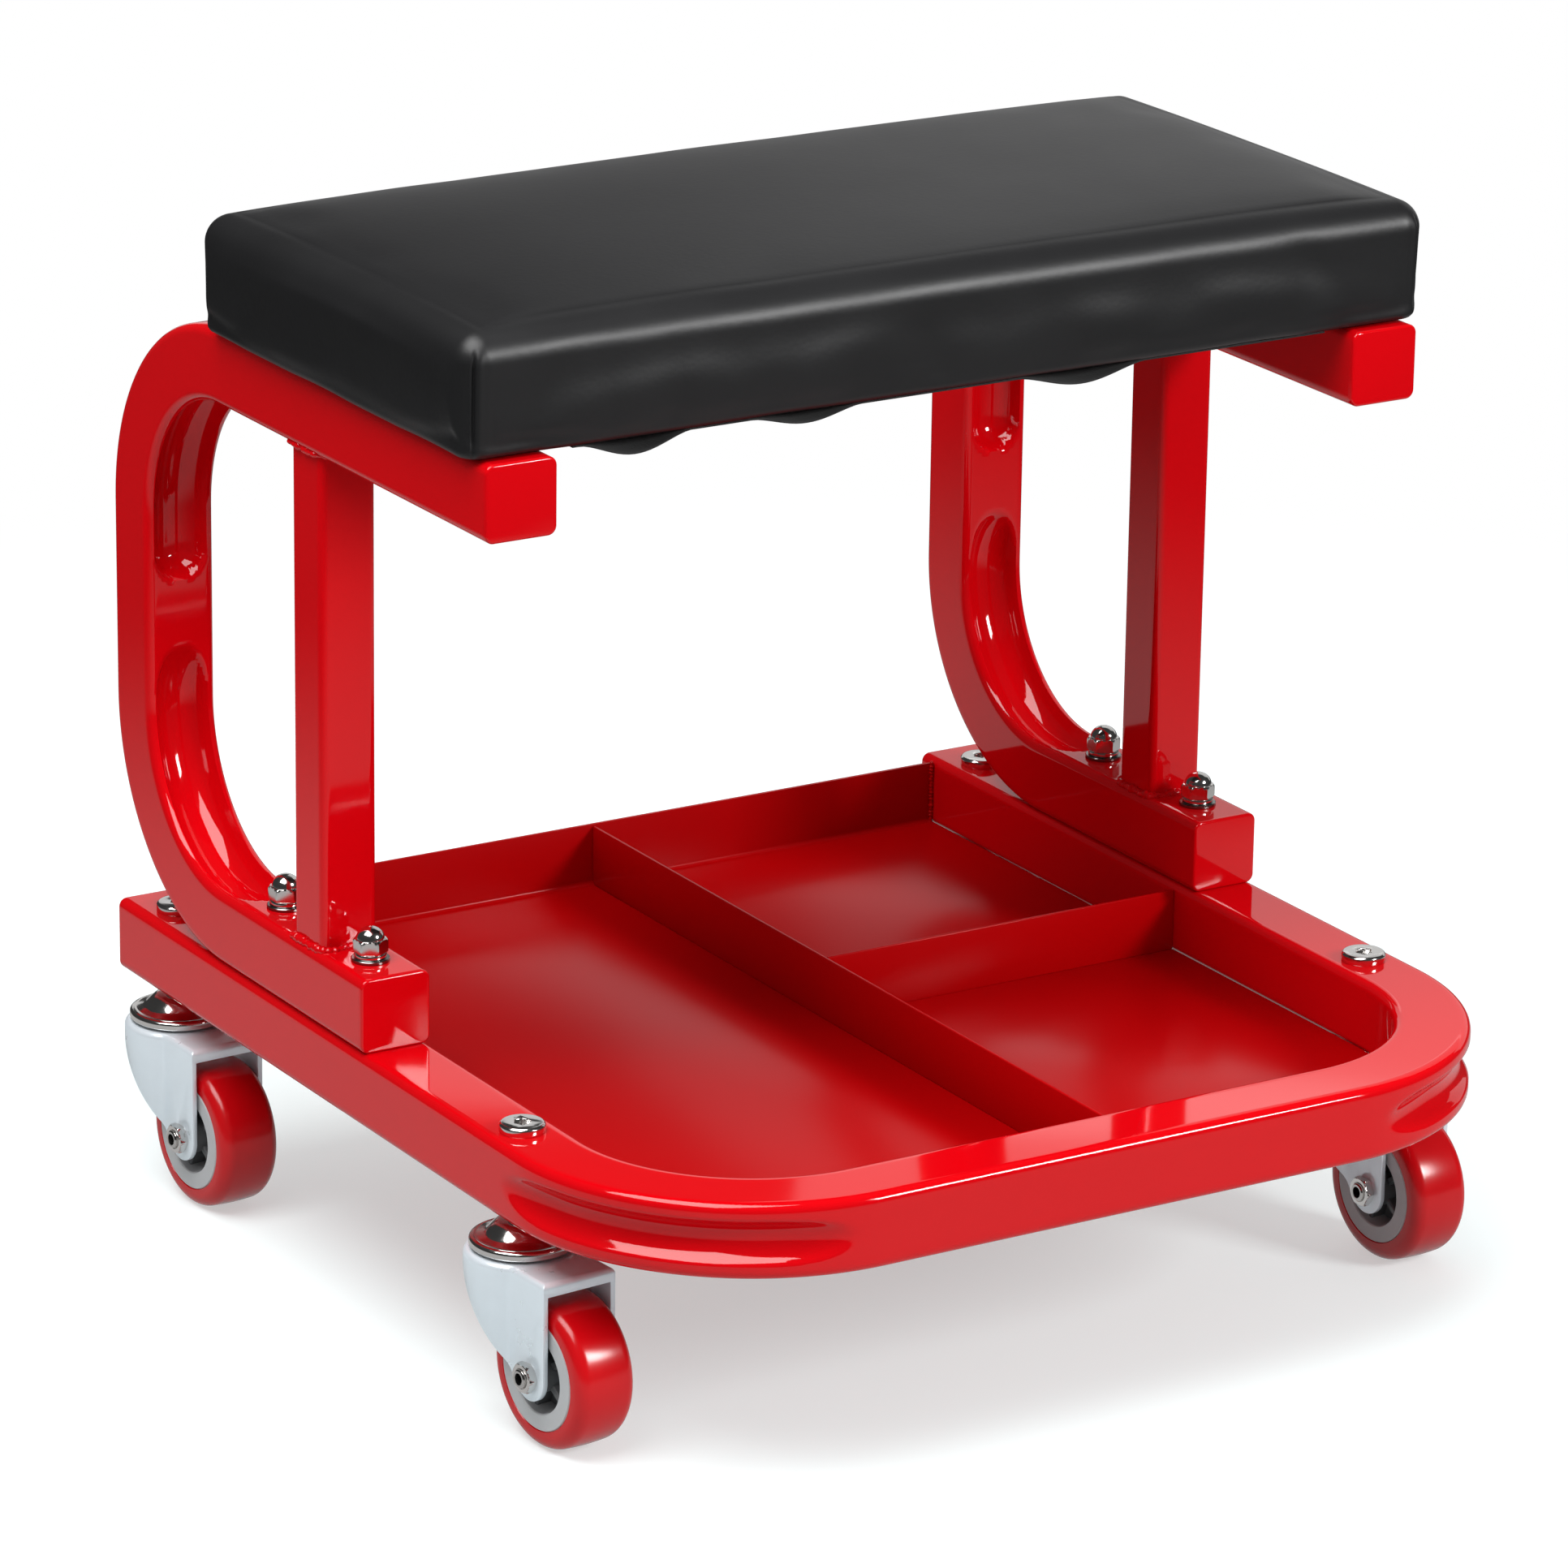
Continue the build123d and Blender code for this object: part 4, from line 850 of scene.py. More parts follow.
# Casters
def caster_matrix(corner):
    """Place of a caster's own frame: its stem on the floor at the origin, its wheel axle along X."""
    for joint in frame["record"]["behaviour"]["joints"]:
        if joint["name"] == corner + "_swivel_turn":
            stem = joint["pos_m"]
        if joint["name"] == corner + "_wheel_roll":
            axis, axle = joint["axis"], joint["pos_m"]
    turn = math.atan2(axis[1], axis[0])
    matrix = Matrix.Translation((stem[0], stem[1], 0)) @ Matrix.Rotation(turn, 4, "Z")
    return matrix, matrix.inverted() @ Vector(axle)


def tyre_mesh(casters):
    """Tyre with round shoulders and a slightly crowned tread."""
    half = casters.tyre_width / 2
    shoulder, crown = casters.shoulder, 0.25 * mm
    inner = casters.ring_outer
    side_reach = casters.tyre_radius - crown
    bevel_out, bevel_up = 0.3 * mm, 0.4 * mm
    flat_end = casters.tyre_radius - shoulder - 1.2 * mm
    profile = [(inner, -half + bevel_up), (inner + bevel_out, -half), (flat_end, -half)]
    for x, z in quarter((0, 0), shoulder, -90, 0, 10):
        profile.append((side_reach - shoulder + x, -half + shoulder + z))
    for step in range(1, 8):
        z = (-half + shoulder) * (1 - step / 4)
        profile.append((side_reach + crown * (1 - (z / (half - shoulder)) ** 2), z))
    for x, z in quarter((0, 0), shoulder, 0, 90, 10):
        profile.append((side_reach - shoulder + x, half - shoulder + z))
    profile += [(flat_end, half), (inner + bevel_out, half), (inner, half - bevel_up)]
    return turned(profile, 128)


def ring_mesh(casters):
    """Pale ring between the tyre and the hub's recess."""
    half, edge = casters.tyre_width / 2, 0.35 * mm
    outer, inner = casters.ring_outer - 0.02 * mm, casters.ring_inner
    profile = [(outer, -half + edge), (outer - edge, -half - 0.05 * mm), (inner + edge, -half - 0.05 * mm)]
    profile += [(inner, -half + edge), (inner - 0.5 * mm, -half + 4 * mm)]
    profile += [(inner - 0.5 * mm, half - 4 * mm), (inner, half - edge)]
    profile += [(inner + edge, half + 0.05 * mm), (outer - edge, half + 0.05 * mm), (outer, half - edge)]
    return turned(profile, 96)


def hub_mesh(casters):
    """Dark web with ribs on both sides and a boss that holds the bushes."""
    web, half = 3 * mm, casters.tyre_width / 2
    outer, boss = casters.ring_inner - 0.45 * mm, casters.boss
    bore = 4.45 * mm
    ribs_top = half - 2.5 * mm
    root, root_half, tip, tip_half = boss - 0.4 * mm, 1.3 * mm, outer + 0.2 * mm, 0.9 * mm
    plan = [(root, -root_half), (tip, -tip_half), (tip, tip_half), (root, root_half)]
    disc = turned(
        [(outer, -web), (boss + 1.2 * mm, -web), (boss + 0.2 * mm, -web - 1 * mm), (boss, -half + 0.3 * mm)]
        + [(boss - 0.3 * mm, -half), (bore, -half), (bore, half), (boss - 0.3 * mm, half), (boss, half - 0.3 * mm)]
        + [(boss + 0.2 * mm, web + 1 * mm), (boss + 1.2 * mm, web), (outer, web)],
        96,
    )
    ribs = []
    for number in range(casters.rib_count):
        turn = Matrix.Rotation(2 * math.pi * number / casters.rib_count + math.pi / 2, 4, "Z")
        for side in (-1, 1):
            rings = []
            for inset, level in ((0, web - 0.2 * mm), (0, ribs_top - 0.4 * mm), (0.35 * mm, ribs_top)):
                rings.append([(x, y - math.copysign(inset, y), side * level) for x, y in plan])
            ribs.append(placed(stacked_rings(rings), turn))
    return joined([disc] + ribs)


def race_mesh(bottom, top, radius):
    """Upper race: a rim over the balls, a step and a crown under the collar."""
    rise, brim, edge, bore = top - bottom, 1.6 * mm, 1.1 * mm, 4.1 * mm
    profile = [(radius - 1.0 * mm, bottom), (radius - 0.2 * mm, bottom), (radius, bottom + 0.3 * mm)]
    profile += [(radius, bottom + brim)]
    for x, z in quarter((0, 0), edge, 0, 80, 6):
        profile.append((radius - edge + x, bottom + brim + z))
    # The step and the crown: radius in millimetres and share of the height
    for across, share_up in ((12.3, 0.47), (11.2, 0.55), (10.6, 0.66), (8.9, 0.86), (7.9, 0.97)):
        profile.append((across * mm, bottom + rise * share_up))
    under = top - 2 * mm
    profile += [(7.4 * mm, top), (bore, top), (bore, under), (7 * mm, under), (10.2 * mm, bottom + 3.2 * mm)]
    profile += [(radius - 1.6 * mm, bottom + 3.1 * mm), (radius - 1.2 * mm, bottom + 0.6 * mm)]
    return turned(profile, 96)


def nut_mesh(flats, height, bore):
    """Chamfered hexagon nut with a hole."""
    corner, wide = hexagon_corner(flats), flats * 4
    levels = [(wide, bore, 0.3 * mm), (wide, bore + 0.3 * mm, 0), (flats, corner * 0.9, 0), (flats, corner, 0.5 * mm)]
    levels += [(flats, corner, height - 0.6 * mm), (flats, corner * 0.92, height - 0.15 * mm)]
    levels += [(flats, corner * 0.86, height), (wide, bore + 0.4 * mm, height), (wide, bore, height - 0.3 * mm)]
    return turned_hexagon(levels, closed=False)


def axle_bolt_mesh(casters, half):
    """Axle bolt: a chamfered head on one cheek, and a hollow end that stands out of the nut on the other."""
    end = half + casters.nut_height + 0.9 * mm
    radius = casters.axle
    shank = turned(
        [(1.7 * mm, -end + 2 * mm), (1.9 * mm, -end + 0.1 * mm), (2.1 * mm, -end), (radius - 0.4 * mm, -end)]
        + [(radius, -end + 0.4 * mm), (radius, half + 0.2 * mm), (1.7 * mm, half + 0.2 * mm)],
        64,
    )
    flats, height, corner = casters.nut_flats, casters.nut_height, hexagon_corner(casters.nut_flats)
    head = turned_hexagon(
        [(flats, corner * 0.97, half), (flats, corner, half + 0.4 * mm), (flats, corner, half + height - 0.6 * mm)]
        + [(flats, corner * 0.93, half + height - 0.15 * mm), (flats, corner * 0.85, half + height)]
    )
    return joined([shank, head])


class STOOL_OT_casters(bpy.types.Operator):
    """Build the four casters: races, forks, wheels and axles"""

    bl_idname = "stool.casters"
    bl_label = "Casters"

    def execute(self, context):
        casters = context.scene.stool_casters
        along = Matrix.Rotation(math.radians(90), 4, "Y")
        race_low, race_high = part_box("front_left_race")
        race = race_mesh(race_low.z, race_high.z, (race_high.x - race_low.x) / 2)
        cheek = 13.6 * mm
        wheel_parts = {
            "tyre": (tyre_mesh(casters), "red_polyurethane", "red_polyurethane", "_wheel", "_tyre"),
            "hub_ring": (ring_mesh(casters), "ring_plastic", "grey_hub_plastic", "_wheel", "_hub"),
            "hub_core": (hub_mesh(casters), "hub_plastic", "grey_hub_plastic", "_wheel", "_hub"),
            "axle": (axle_bolt_mesh(casters, cheek), "ball_steel", "bearing_steel", "_swivel", "_axle_bolt"),
        }
        nut = nut_mesh(casters.nut_flats, casters.nut_height, casters.axle + 0.05 * mm)
        nut_place = Matrix.Translation((-cheek, 0, 0)) @ Matrix.Rotation(math.radians(-90), 4, "Y")
        for corner in corners:
            place, axle = caster_matrix(corner)
            at_axle = place @ Matrix.Translation(axle)
            for label, (mesh, look, slot, body, node) in wheel_parts.items():
                piece = piece_from(corner + "_" + label + "_piece", placed(mesh, at_axle @ along), look)
                claim(piece, corner + body, slot, corner + node)
            piece = piece_from(corner + "_nut_piece", placed(nut, at_axle @ nut_place), "bright_nickel", 28)
            claim(piece, corner + "_swivel", "bearing_steel", corner + "_axle_nut")
            piece = piece_from(corner + "_race_piece", placed(race, place), "bright_nickel", 30)
            claim(piece, root_body, "bright_plated_steel", corner + "_race")
            piece = eased_copy(corner + "_fork_piece", corner + "_fork", "blue_zinc", 0.3 * mm)
            claim(piece, corner + "_swivel", "zinc_plated_steel", corner + "_fork")
            dress(corner + "_stem", "bright_nickel")
            dress(corner + "_balls", "ball_steel")
            dress(corner + "_bushes", "bush_plastic")
        return {"FINISHED"}


# Seat
def graded(half, fine_zone, fine, coarse):
    """Grid lines from one edge to the other, close together near both edges."""
    fine_count = round(fine_zone / fine)
    lines = [-half + fine_zone * step / fine_count for step in range(fine_count)]
    inner = half - fine_zone
    coarse_count = round(2 * inner / coarse)
    lines += [-inner + 2 * inner * step / coarse_count for step in range(coarse_count)]
    lines += [inner + fine_zone * step / fine_count for step in range(fine_count + 1)]
    return lines


def box_shell(xs, ys, zs):
    """The skin of a box whose faces follow three sets of grid lines."""
    numbers, points, faces = {}, [], []

    def corner(i, j, k):
        key = (i, j, k)
        if key not in numbers:
            numbers[key] = len(points)
            points.append((xs[i], ys[j], zs[k]))
        return numbers[key]

    last = (len(xs) - 1, len(ys) - 1, len(zs) - 1)
    for first, second, third in ((0, 1, 2), (1, 2, 0), (2, 0, 1)):
        for level in (0, last[third]):
            for a in range(last[first]):
                for b in range(last[second]):
                    quad = []
                    for da, db in ((0, 0), (1, 0), (1, 1), (0, 1)):
                        index = [0, 0, 0]
                        index[first], index[second], index[third] = a + da, b + db, level
                        quad.append(corner(*index))
                    faces.append(quad if level else quad[::-1])
    return points, faces


def softened(point, half_x, half_y, height, seat):
    """Round a box point's corner in plan, its shoulder and its foot, crown its top and draw in its sides."""
    x, y, z = point
    crown_power = 2.6
    corner_x, corner_y = half_x - seat.corner, half_y - seat.corner
    over_x, over_y = abs(x) - corner_x, abs(y) - corner_y
    sign_x, sign_y = math.copysign(1, x), math.copysign(1, y)
    if over_x > 0 and over_y > 0:
        square, round_reach = max(over_x, over_y), math.hypot(over_x, over_y)
        over_x, over_y = over_x * square / round_reach, over_y * square / round_reach
        x, y = sign_x * (corner_x + over_x), sign_y * (corner_y + over_y)
        inset = seat.corner - math.hypot(over_x, over_y)
        away = Vector((sign_x * over_x, sign_y * over_y)).normalized()
    elif half_x - abs(x) < half_y - abs(y):
        inset, away = half_x - abs(x), Vector((sign_x, 0))
    else:
        inset, away = half_y - abs(y), Vector((0, sign_y))
    shift = 0
    for radius, drop, up in ((seat.shoulder, height - z, 1), (seat.foot, z, -1)):
        if inset < radius and drop < radius:
            side, top = (radius - inset) / radius, (radius - drop) / radius
            reach = math.hypot(side, top)
            big = max(side, top)
            side, top = side * big / reach, top * big / reach
            shift = inset - radius * (1 - side)
            z = height - radius * (1 - top) if up > 0 else radius * (1 - top)
    x, y = x + away.x * shift, y + away.y * shift
    rise = z / height
    edge_x, edge_y = 1 - abs(x) / half_x, 1 - abs(y) / half_y
    top_share = max(0, (z - (height - seat.shoulder)) / seat.shoulder)
    crown = (1 - (1 - edge_y) ** crown_power) * (1 - (1 - min(1, edge_x * half_x / half_y)) ** crown_power)
    z += seat.crown * crown * top_share
    draw = seat.inset * (1 - rise) ** 2
    x -= away.x * draw
    y -= away.y * draw
    return Vector((x, y, z))


def settle_cushion(piece, seat, bottom):
    """Let the cover settle under its filling's pressure, held along its bottom, within a cap."""
    rest, held_height = [vertex.co.copy() for vertex in piece.data.vertices], 3 * mm
    held = piece.vertex_groups.new(name="held")
    for vertex in piece.data.vertices:
        if vertex.co.z < bottom + held_height:
            held.add([vertex.index], 1.0, "REPLACE")
    cover = piece.modifiers.new("Cover", "CLOTH")
    vinyl = {"quality": 6, "mass": 0.25, "tension_stiffness": 12, "compression_stiffness": 12, "shear_stiffness": 5}
    vinyl.update({"bending_stiffness": 0.6, "shrink_min": -0.012, "vertex_group_mass": "held"})
    vinyl.update({"use_pressure": True, "uniform_pressure_force": seat.pressure})
    for setting, value in vinyl.items():
        setattr(cover.settings, setting, value)
    cover.settings.effector_weights.gravity = 0
    cover.collision_settings.use_collision = False
    first_frame, last_frame = 1, 20
    cover.point_cache.frame_start, cover.point_cache.frame_end = first_frame, last_frame
    scene = bpy.context.scene
    for moment in range(first_frame, last_frame + 1):
        scene.frame_set(moment)
    view = bpy.context.evaluated_depsgraph_get()
    moved = [vertex.co.copy() for vertex in piece.evaluated_get(view).data.vertices]
    piece.modifiers.remove(cover)
    scene.frame_set(first_frame)
    steps = []
    for before, after in zip(rest, moved):
        step = after - before
        if step.length > seat.sim_cap:
            step *= seat.sim_cap / step.length
        steps.append(step)
    edges = [tuple(edge.vertices) for edge in piece.data.edges]
    for _ in range(seat.easing_rounds):
        sums, counts = [step.copy() for step in steps], [1] * len(steps)
        for first, second in edges:
            sums[first] += steps[second]
            sums[second] += steps[first]
            counts[first] += 1
            counts[second] += 1
        steps = [total / count for total, count in zip(sums, counts)]
    for vertex, before, step in zip(piece.data.vertices, rest, steps):
        vertex.co = before + step


def side_puckers(half_x, half_y, seat):
    """Soft puckers of every side: place along the side, lean, width, height and depth."""
    draw = random.Random(11)
    puckers = []
    for axis, sign, reach in ((1, -1, half_x), (1, 1, half_x), (0, -1, half_y), (0, 1, half_y)):
        count = round(2 * reach / (34 * mm))
        for number in range(count):
            share_along = (number + draw.uniform(0.25, 0.75)) / count
            near_end = abs(2 * share_along - 1)
            place = reach * (2 * share_along - 1)
            lean = draw.uniform(-0.5, 0.5) - 0.9 * math.copysign(near_end**3, place)
            width = draw.uniform(3.5, 7.5) * mm
            top = draw.uniform(0.5, 0.85) + 0.3 * near_end**3
            depth = seat.pucker * draw.uniform(0.35, 1.0) * (0.45 + 0.9 * near_end**2)
            puckers.append((axis, sign, place, lean, width, top, depth))
    return puckers


def outward(x, y, half_x, half_y, corner):
    """Which way is out at a place of a rounded oblong, and how far inside its outline the place is."""
    over_x, over_y = abs(x) - (half_x - corner), abs(y) - (half_y - corner)
    sign_x, sign_y = math.copysign(1, x), math.copysign(1, y)
    if over_x > 0 and over_y > 0:
        return Vector((sign_x * over_x, sign_y * over_y)).normalized(), corner - math.hypot(over_x, over_y)
    if over_x > over_y:
        return Vector((sign_x, 0)), half_x - abs(x)
    return Vector((0, sign_y)), half_y - abs(y)


def bell(offset, width):
    return math.exp(-((offset / width) ** 2))


def crease_cushion(piece, centre, half_x, half_y, bottom, height, seat):
    """Press puckers into the sides, a wave into the hem and a folded pleat beside each corner."""
    puckers = side_puckers(half_x, half_y, seat)
    skin_depth, wave_height = 5 * mm, 0.3 * mm
    fold_width, flap_width, flap_offset = 0.7 * mm, 1.7 * mm, 2.3 * mm
    hem_along, hem_across = 0.35 * mm, 0.3 * mm
    # Waves in radians per metre, and shares of the height: how fast an effect comes and where it ends
    short_wave, long_wave, hem_wave_x, hem_wave_y = 95, 41, 70, 90
    fade_rate, top_rate, hem_rate, side_top, fold_top = 6, 5, 5, 1.02, 0.9
    for vertex in piece.data.vertices:
        x, y = vertex.co.x - centre[0], vertex.co.y - centre[1]
        away, depth_in = outward(x, y, half_x, half_y, seat.corner)
        skin_share = max(0, 1 - depth_in / skin_depth)
        if skin_share <= 0:
            continue
        rise = (vertex.co.z - bottom) / height
        side_share = clamped(rise * fade_rate) * clamped((side_top - rise) * top_rate)
        axis = 1 if abs(away.y) > abs(away.x) else 0
        across, sign = (x, math.copysign(1, y)) if axis else (y, math.copysign(1, x))
        push = 0
        for p_axis, p_sign, place, lean, width, top, depth in puckers:
            if p_axis == axis and p_sign == sign:
                offset = across - place - lean * rise * height
                push += depth * bell(offset, width) * max(0, 1 - rise / top) ** 0.6
        wave = wave_height * math.sin(across * short_wave + sign) * math.sin(across * long_wave + 2 * axis)
        round_corner = (half_x - abs(x)) - (half_y - abs(y))
        slant = 1.3 * mm + 1.2 * mm * rise
        fold = seat.pleat * bell(round_corner - slant, fold_width)
        flap = seat.flap * bell(round_corner - slant - flap_offset, flap_width)
        corner_fade = clamped((fold_top - rise) * fade_rate)
        shift = skin_share * side_share * (wave * (1 - rise) - push + corner_fade * (flap - fold))
        vertex.co.x += away.x * shift
        vertex.co.y += away.y * shift
        hem = hem_along * math.sin(x * hem_wave_x) + hem_across * math.sin(y * hem_wave_y + 1)
        vertex.co.z += max(0, 1 - rise * hem_rate) * max(0, hem)
    piece.data.update()


class STOOL_OT_seat(bpy.types.Operator):
    """Pad and cover the seat, let the cover settle and crease its sides"""

    bl_idname = "stool.seat"
    bl_label = "Seat cushion"

    def execute(self, context):
        seat = context.scene.stool_seat
        low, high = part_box("seat_cover")
        half_x, half_y = (high.x - low.x) / 2, (high.y - low.y) / 2
        centre = ((low.x + high.x) / 2, (low.y + high.y) / 2)
        height = high.z - low.z - seat.crown
        plan_grid, height_grid = (12 * mm, 0.6 * mm, 3.4 * mm), (10 * mm, 0.9 * mm, 1.8 * mm)
        xs, ys = graded(half_x, *plan_grid), graded(half_y, *plan_grid)
        zs = [z + height / 2 for z in graded(height / 2, *height_grid)]
        points, faces = box_shell(xs, ys, zs)
        points = [softened(point, half_x, half_y, height, seat) for point in points]
        points = [(centre[0] + p.x, centre[1] + p.y, low.z + p.z) for p in points]
        piece = piece_from("seat_cushion", mesh_from(points, faces), "black_vinyl", 70)
        settle_cushion(piece, seat, low.z)
        crease_cushion(piece, centre, half_x, half_y, low.z, height, seat)
        claim(piece, root_body, "black_vinyl", "seat_cover", "seat_foam")
        return {"FINISHED"}


class STOOL_OT_dust_cloth(bpy.types.Operator):
    """Hang the dust cloth under the seat between its staples"""

    bl_idname = "stool.dust_cloth"
    bl_label = "Dust cloth"

    def execute(self, context):
        seat = context.scene.stool_seat
        low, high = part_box("seat_dust_cloth")
        hang, ripple_height, cloth_thickness, slack = 0.25 * mm, 0.25 * mm, 0.4 * mm, 1.02
        ripples_along, ripples_across, bulge_power, middle_share = 60, 9, 1.5, 0.3
        top = high.z - hang
        # Each bulge's start and end along the cloth, as shares of its length, and its share of the sag
        bulges = ((0.01, 0.15, 1.0), (0.23, 0.37, 0.7), (0.58, 0.75, 0.9))
        columns, rows = 140, 60
        points, faces = [], []
        for row in range(rows + 1):
            across = row / rows
            edge = middle_share + (1 - middle_share) * (2 * across - 1) ** 2
            for column in range(columns + 1):
                along = column / columns
                drop = 0
                for start, end, depth in bulges:
                    if start < along < end:
                        swell = math.sin(math.pi * (along - start) / (end - start)) ** bulge_power
                        drop = seat.sag * depth * swell
                ripple = math.sin(along * ripples_along + across * ripples_across) * math.sin(math.pi * across)
                place = (low.x + (high.x - low.x) * along, low.y + (high.y - low.y) * across)
                points.append((*place, top - drop * edge - ripple_height * abs(ripple)))
        for row in range(rows):
            for column in range(columns):
                first = row * (columns + 1) + column
                faces.append((first, first + columns + 1, first + columns + 2, first + 1))
        mesh = bpy.data.meshes.new("dust_cloth")
        mesh.from_pydata(points, [], faces)
        piece = in_scene("dust_cloth_work", mesh)
        thick = piece.modifiers.new("Thickness", "SOLIDIFY")
        thick.thickness = cloth_thickness
        thick.offset = 0
        piece = piece_from("dust_cloth", settled(piece), "black_cloth", 60)
        claim(piece, root_body, "black_cloth", "seat_dust_cloth")
        return {"FINISHED"}


# Stage
def soft_box(name, place, target, size, power):
    """A soft white rectangular lamp that looks at a target."""
    lamp = bpy.data.lights.new(name, "AREA")
    lamp.shape = "RECTANGLE"
    lamp.size, lamp.size_y = size
    lamp.energy = power
    back = (Vector(place) - Vector(target)).normalized()
    right = Vector((-back.y, back.x, 0)).normalized()
    turn = Matrix((right, back.cross(right), back)).transposed().to_4x4()
    in_scene(name, lamp).matrix_world = Matrix.Translation(place) @ turn


def stage_level(tree, rays, seen, mirrored, plain):
    """A brightness for camera, mirror and plain rays."""
    first = add(tree, "ShaderNodeMix", {"Factor": rays["Is Glossy Ray"], "A": plain, "B": mirrored})
    second_inputs = {"Factor": rays["Is Camera Ray"], "A": first.outputs["Result"], "B": seen}
    return add(tree, "ShaderNodeMix", second_inputs).outputs["Result"]


def floor_paint(stage):
    """Pale paper floor: near the object it takes the light and the shadow, farther out it is plain white."""
    material = bpy.data.materials.new("pale_floor")
    material.use_nodes = True
    tree = material.node_tree
    tree.nodes.clear()

    def glow(strength):
        return add(tree, "ShaderNodeEmission", {"Strength": strength}).outputs["Emission"]

    rays = add(tree, "ShaderNodeLightPath").outputs
    paper = add(tree, "ShaderNodeBsdfDiffuse", {"Color": (*stage.paper, 1)}).outputs["BSDF"]
    lift = glow(stage_level(tree, rays, stage.lift, 0.0, 0.0))
    lit = add(tree, "ShaderNodeAddShader", {0: paper, 1: lift}).outputs["Shader"]
    near_inputs = {"Fac": rays["Is Glossy Ray"], 1: lit, 2: glow(stage.mirror_paper)}
    near = add(tree, "ShaderNodeMixShader", near_inputs).outputs["Shader"]
    far = glow(stage_level(tree, rays, 1.0, stage.mirror_far, stage.plain_far))
    place = add(tree, "ShaderNodeTexCoord").outputs["Object"]
    distance = add(tree, "ShaderNodeVectorMath", {0: place}, operation="LENGTH").outputs["Value"]
    edge_inputs = {"From Min": stage.paper_inner, "From Max": stage.paper_outer, "Value": distance}
    edge = add(tree, "ShaderNodeMapRange", edge_inputs, interpolation_type="SMOOTHSTEP").outputs["Result"]
    mix = add(tree, "ShaderNodeMixShader", {"Fac": edge, 1: near, 2: far}).outputs["Shader"]
    add(tree, "ShaderNodeOutputMaterial", {"Surface": mix})
    return material


def soft_world(stage):
    """Even studio light, white where the camera sees it and dim in mirrors."""
    world = bpy.data.worlds.new("studio")
    bpy.context.scene.world = world
    world.use_nodes = True
    tree = world.node_tree
    tree.nodes.clear()
    rays = add(tree, "ShaderNodeLightPath").outputs
    level = stage_level(tree, rays, 1.0, stage.mirror_light, stage.even_light)
    light = add(tree, "ShaderNodeBackground", {"Strength": level})
    add(tree, "ShaderNodeOutputWorld", {"Surface": light.outputs["Background"]})


def photo_camera():
    """Camera at the photograph's place: a long lens from the front left, a little above the seat."""
    image_px, focal_px, sensor = 1932, 9447.6, 36.0
    azimuth, elevation, roll = (math.radians(angle) for angle in (-31.59, 18.63, 0.85))
    target, distance = Vector((-16.0 * mm, 4.75 * mm, 162.3 * mm)), 2.5
    level = math.cos(elevation)
    back = Vector((math.sin(azimuth) * level, -math.cos(azimuth) * level, math.sin(elevation)))
    right = Vector((math.cos(azimuth), math.sin(azimuth), 0))
    up = back.cross(right)
    side = right * math.cos(roll) + up * math.sin(roll)
    top = up * math.cos(roll) - right * math.sin(roll)
    lens = bpy.data.cameras.new("photo_camera")
    lens.sensor_fit = "HORIZONTAL"
    lens.sensor_width = sensor
    lens.lens = focal_px / image_px * sensor
    lens.clip_end = 100
    holder = in_scene("photo_camera", lens)
    turn = Matrix((side, top, back)).transposed().to_4x4()
    holder.matrix_world = Matrix.Translation(target + back * distance) @ turn
    bpy.context.scene.camera = holder


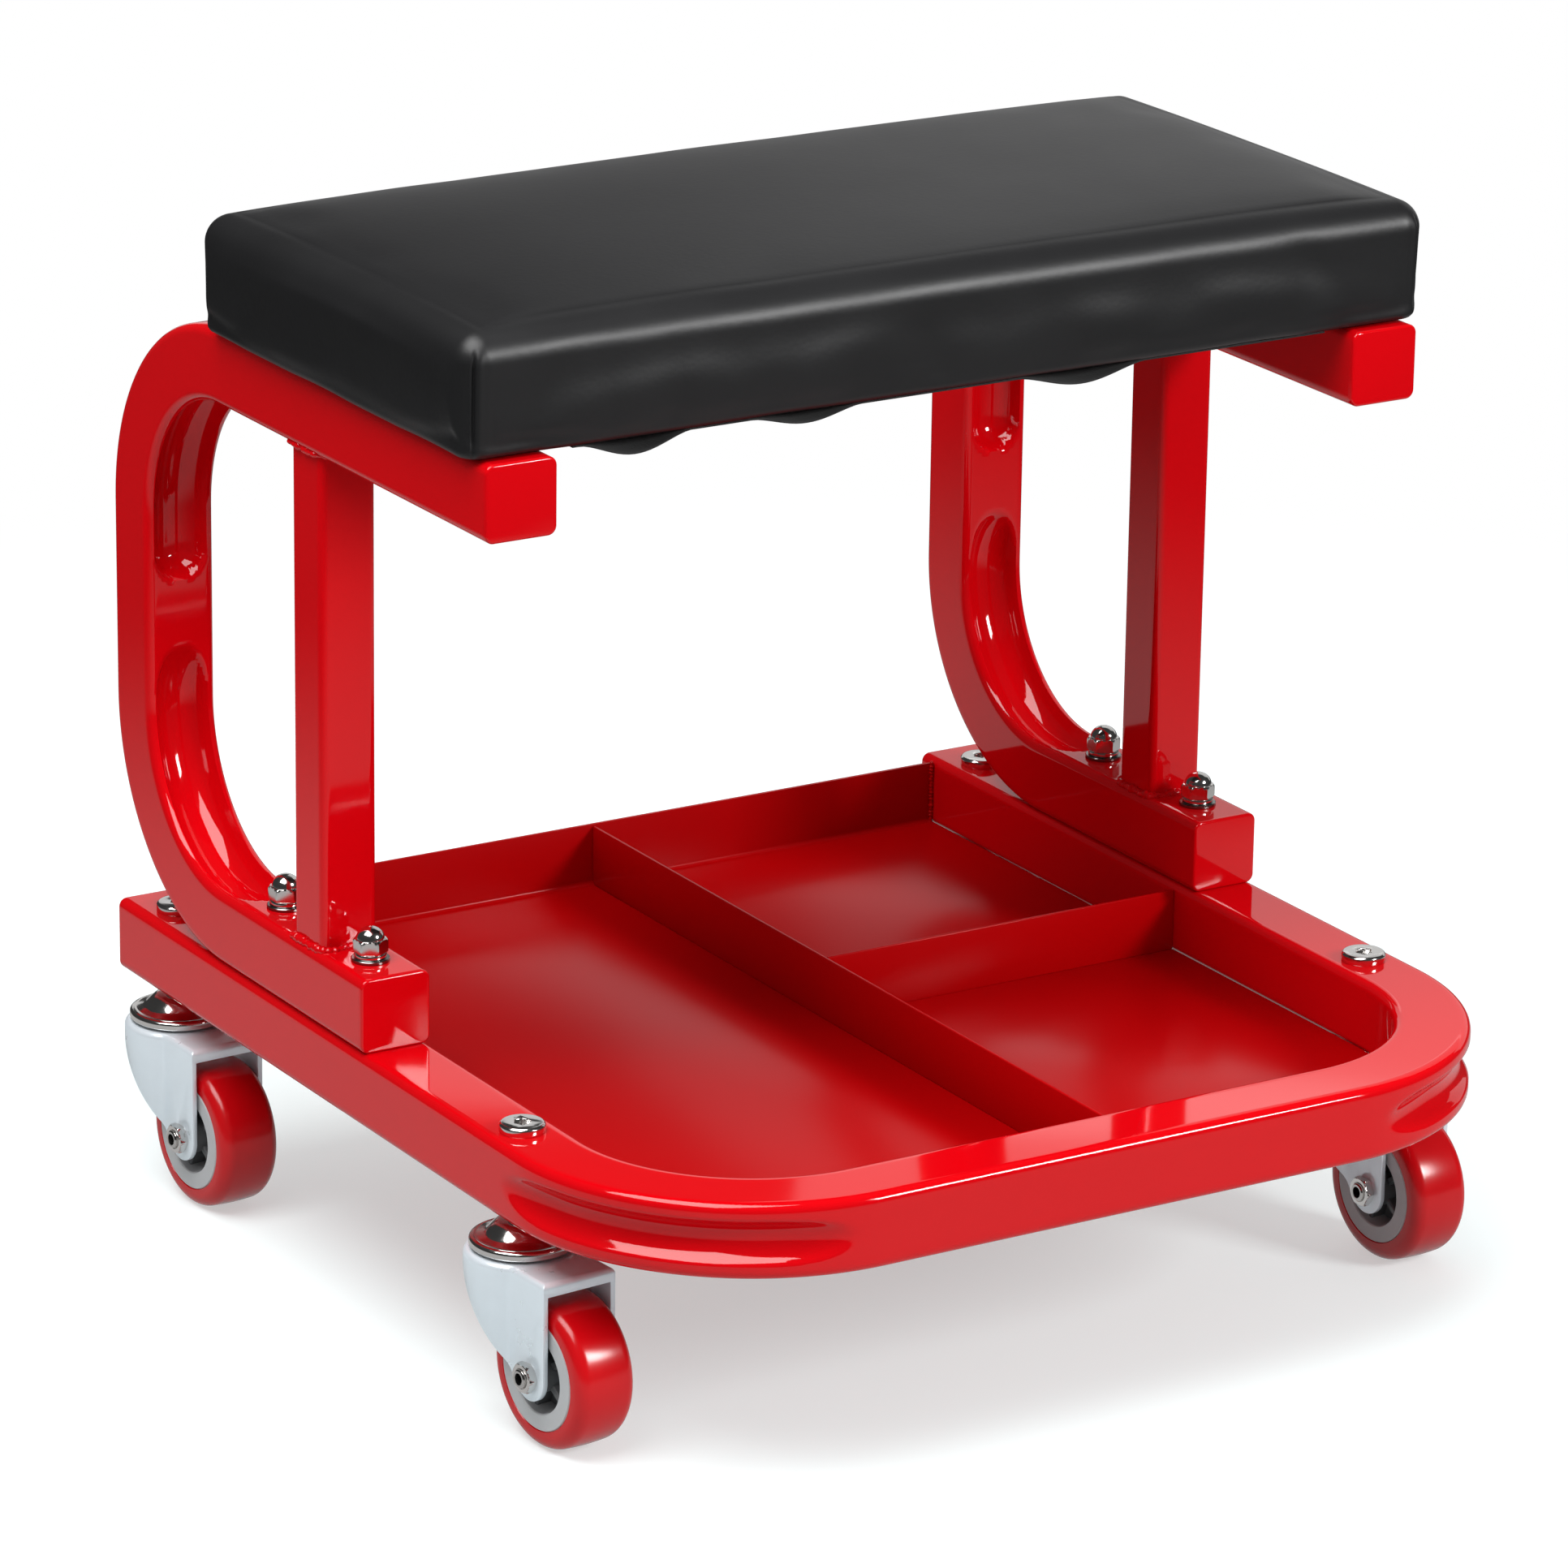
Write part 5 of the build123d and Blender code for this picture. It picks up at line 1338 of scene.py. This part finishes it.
class STOOL_OT_stage(bpy.types.Operator):
    """Lay the pale floor, hang the soft boxes and stand the camera"""

    bl_idname = "stool.stage"
    bl_label = "Stage"

    def execute(self, context):
        stage = context.scene.stool_stage
        half = stage.floor_size / 2
        floor_mesh = bpy.data.meshes.new("floor")
        ends = [(-half, -half, 0), (half, -half, 0), (half, half, 0), (-half, half, 0)]
        floor_mesh.from_pydata(ends, [], [(0, 1, 2, 3)])
        floor_mesh.materials.append(floor_paint(stage))
        floor = in_scene("floor", floor_mesh)
        soft_world(stage)
        # Each lamp's name, place, target, size and power in watts
        middle, front = (0, 0, 0.12), (0.1, -0.3)
        soft_box("overhead_box", (-0.6, -0.2, 1.55), middle, (1.2, 1.2), 31)
        soft_box("key_box", (1.0, -1.7, 1.1), middle, (0.5, 0.5), 28)
        soft_box("back_card", (1.045, 0.649, 0.95), (*front, 0.3), (1.2, 0.7), 1.45)
        soft_box("low_card", (0.875, 0.754, 0.38), (*front, 0.2), (1.9, 0.4), 1.5)
        photo_camera()
        context.scene.view_settings.view_transform = "Standard"
        return {"FINISHED"}


class STOOL_PT_panel(bpy.types.Panel):
    """Lists the steps that dress the stool"""

    bl_idname = "STOOL_PT_panel"
    bl_label = "Workshop stool"
    bl_space_type = "VIEW_3D"
    bl_region_type = "UI"
    bl_category = "Stool"

    def draw(self, context):
        for step in steps:
            self.layout.operator(step.bl_idname)


steps = (
    STOOL_OT_base_rail,
    STOOL_OT_side_frames,
    STOOL_OT_end_plates,
    STOOL_OT_struts,
    STOOL_OT_tray,
    STOOL_OT_frame_fasteners,
    STOOL_OT_casters,
    STOOL_OT_seat,
    STOOL_OT_seat_fasteners,
    STOOL_OT_dust_cloth,
    STOOL_OT_stage,
)
groups = {
    "stool_tubes": StoolTubes,
    "stool_seat": StoolSeat,
    "stool_casters": StoolCasters,
    "stool_finish": StoolFinish,
    "stool_stage": StoolStage,
}


def register():
    for name, group in groups.items():
        bpy.utils.register_class(group)
        setattr(bpy.types.Scene, name, bpy.props.PointerProperty(type=group))
    for step in steps:
        bpy.utils.register_class(step)
    bpy.utils.register_class(STOOL_PT_panel)


def unregister():
    bpy.utils.unregister_class(STOOL_PT_panel)
    for step in reversed(steps):
        bpy.utils.unregister_class(step)
    for name, group in groups.items():
        delattr(bpy.types.Scene, name)
        bpy.utils.unregister_class(group)


def main():
    register()
    bpy.ops.stool.base_rail()
    bpy.ops.stool.side_frames()
    bpy.ops.stool.end_plates()
    bpy.ops.stool.struts()
    bpy.ops.stool.tray()
    bpy.ops.stool.frame_fasteners()
    bpy.ops.stool.casters()
    bpy.ops.stool.seat()
    bpy.ops.stool.seat_fasteners()
    bpy.ops.stool.dust_cloth()
    bpy.ops.stool.stage()


if __name__ == "__main__":
    main()
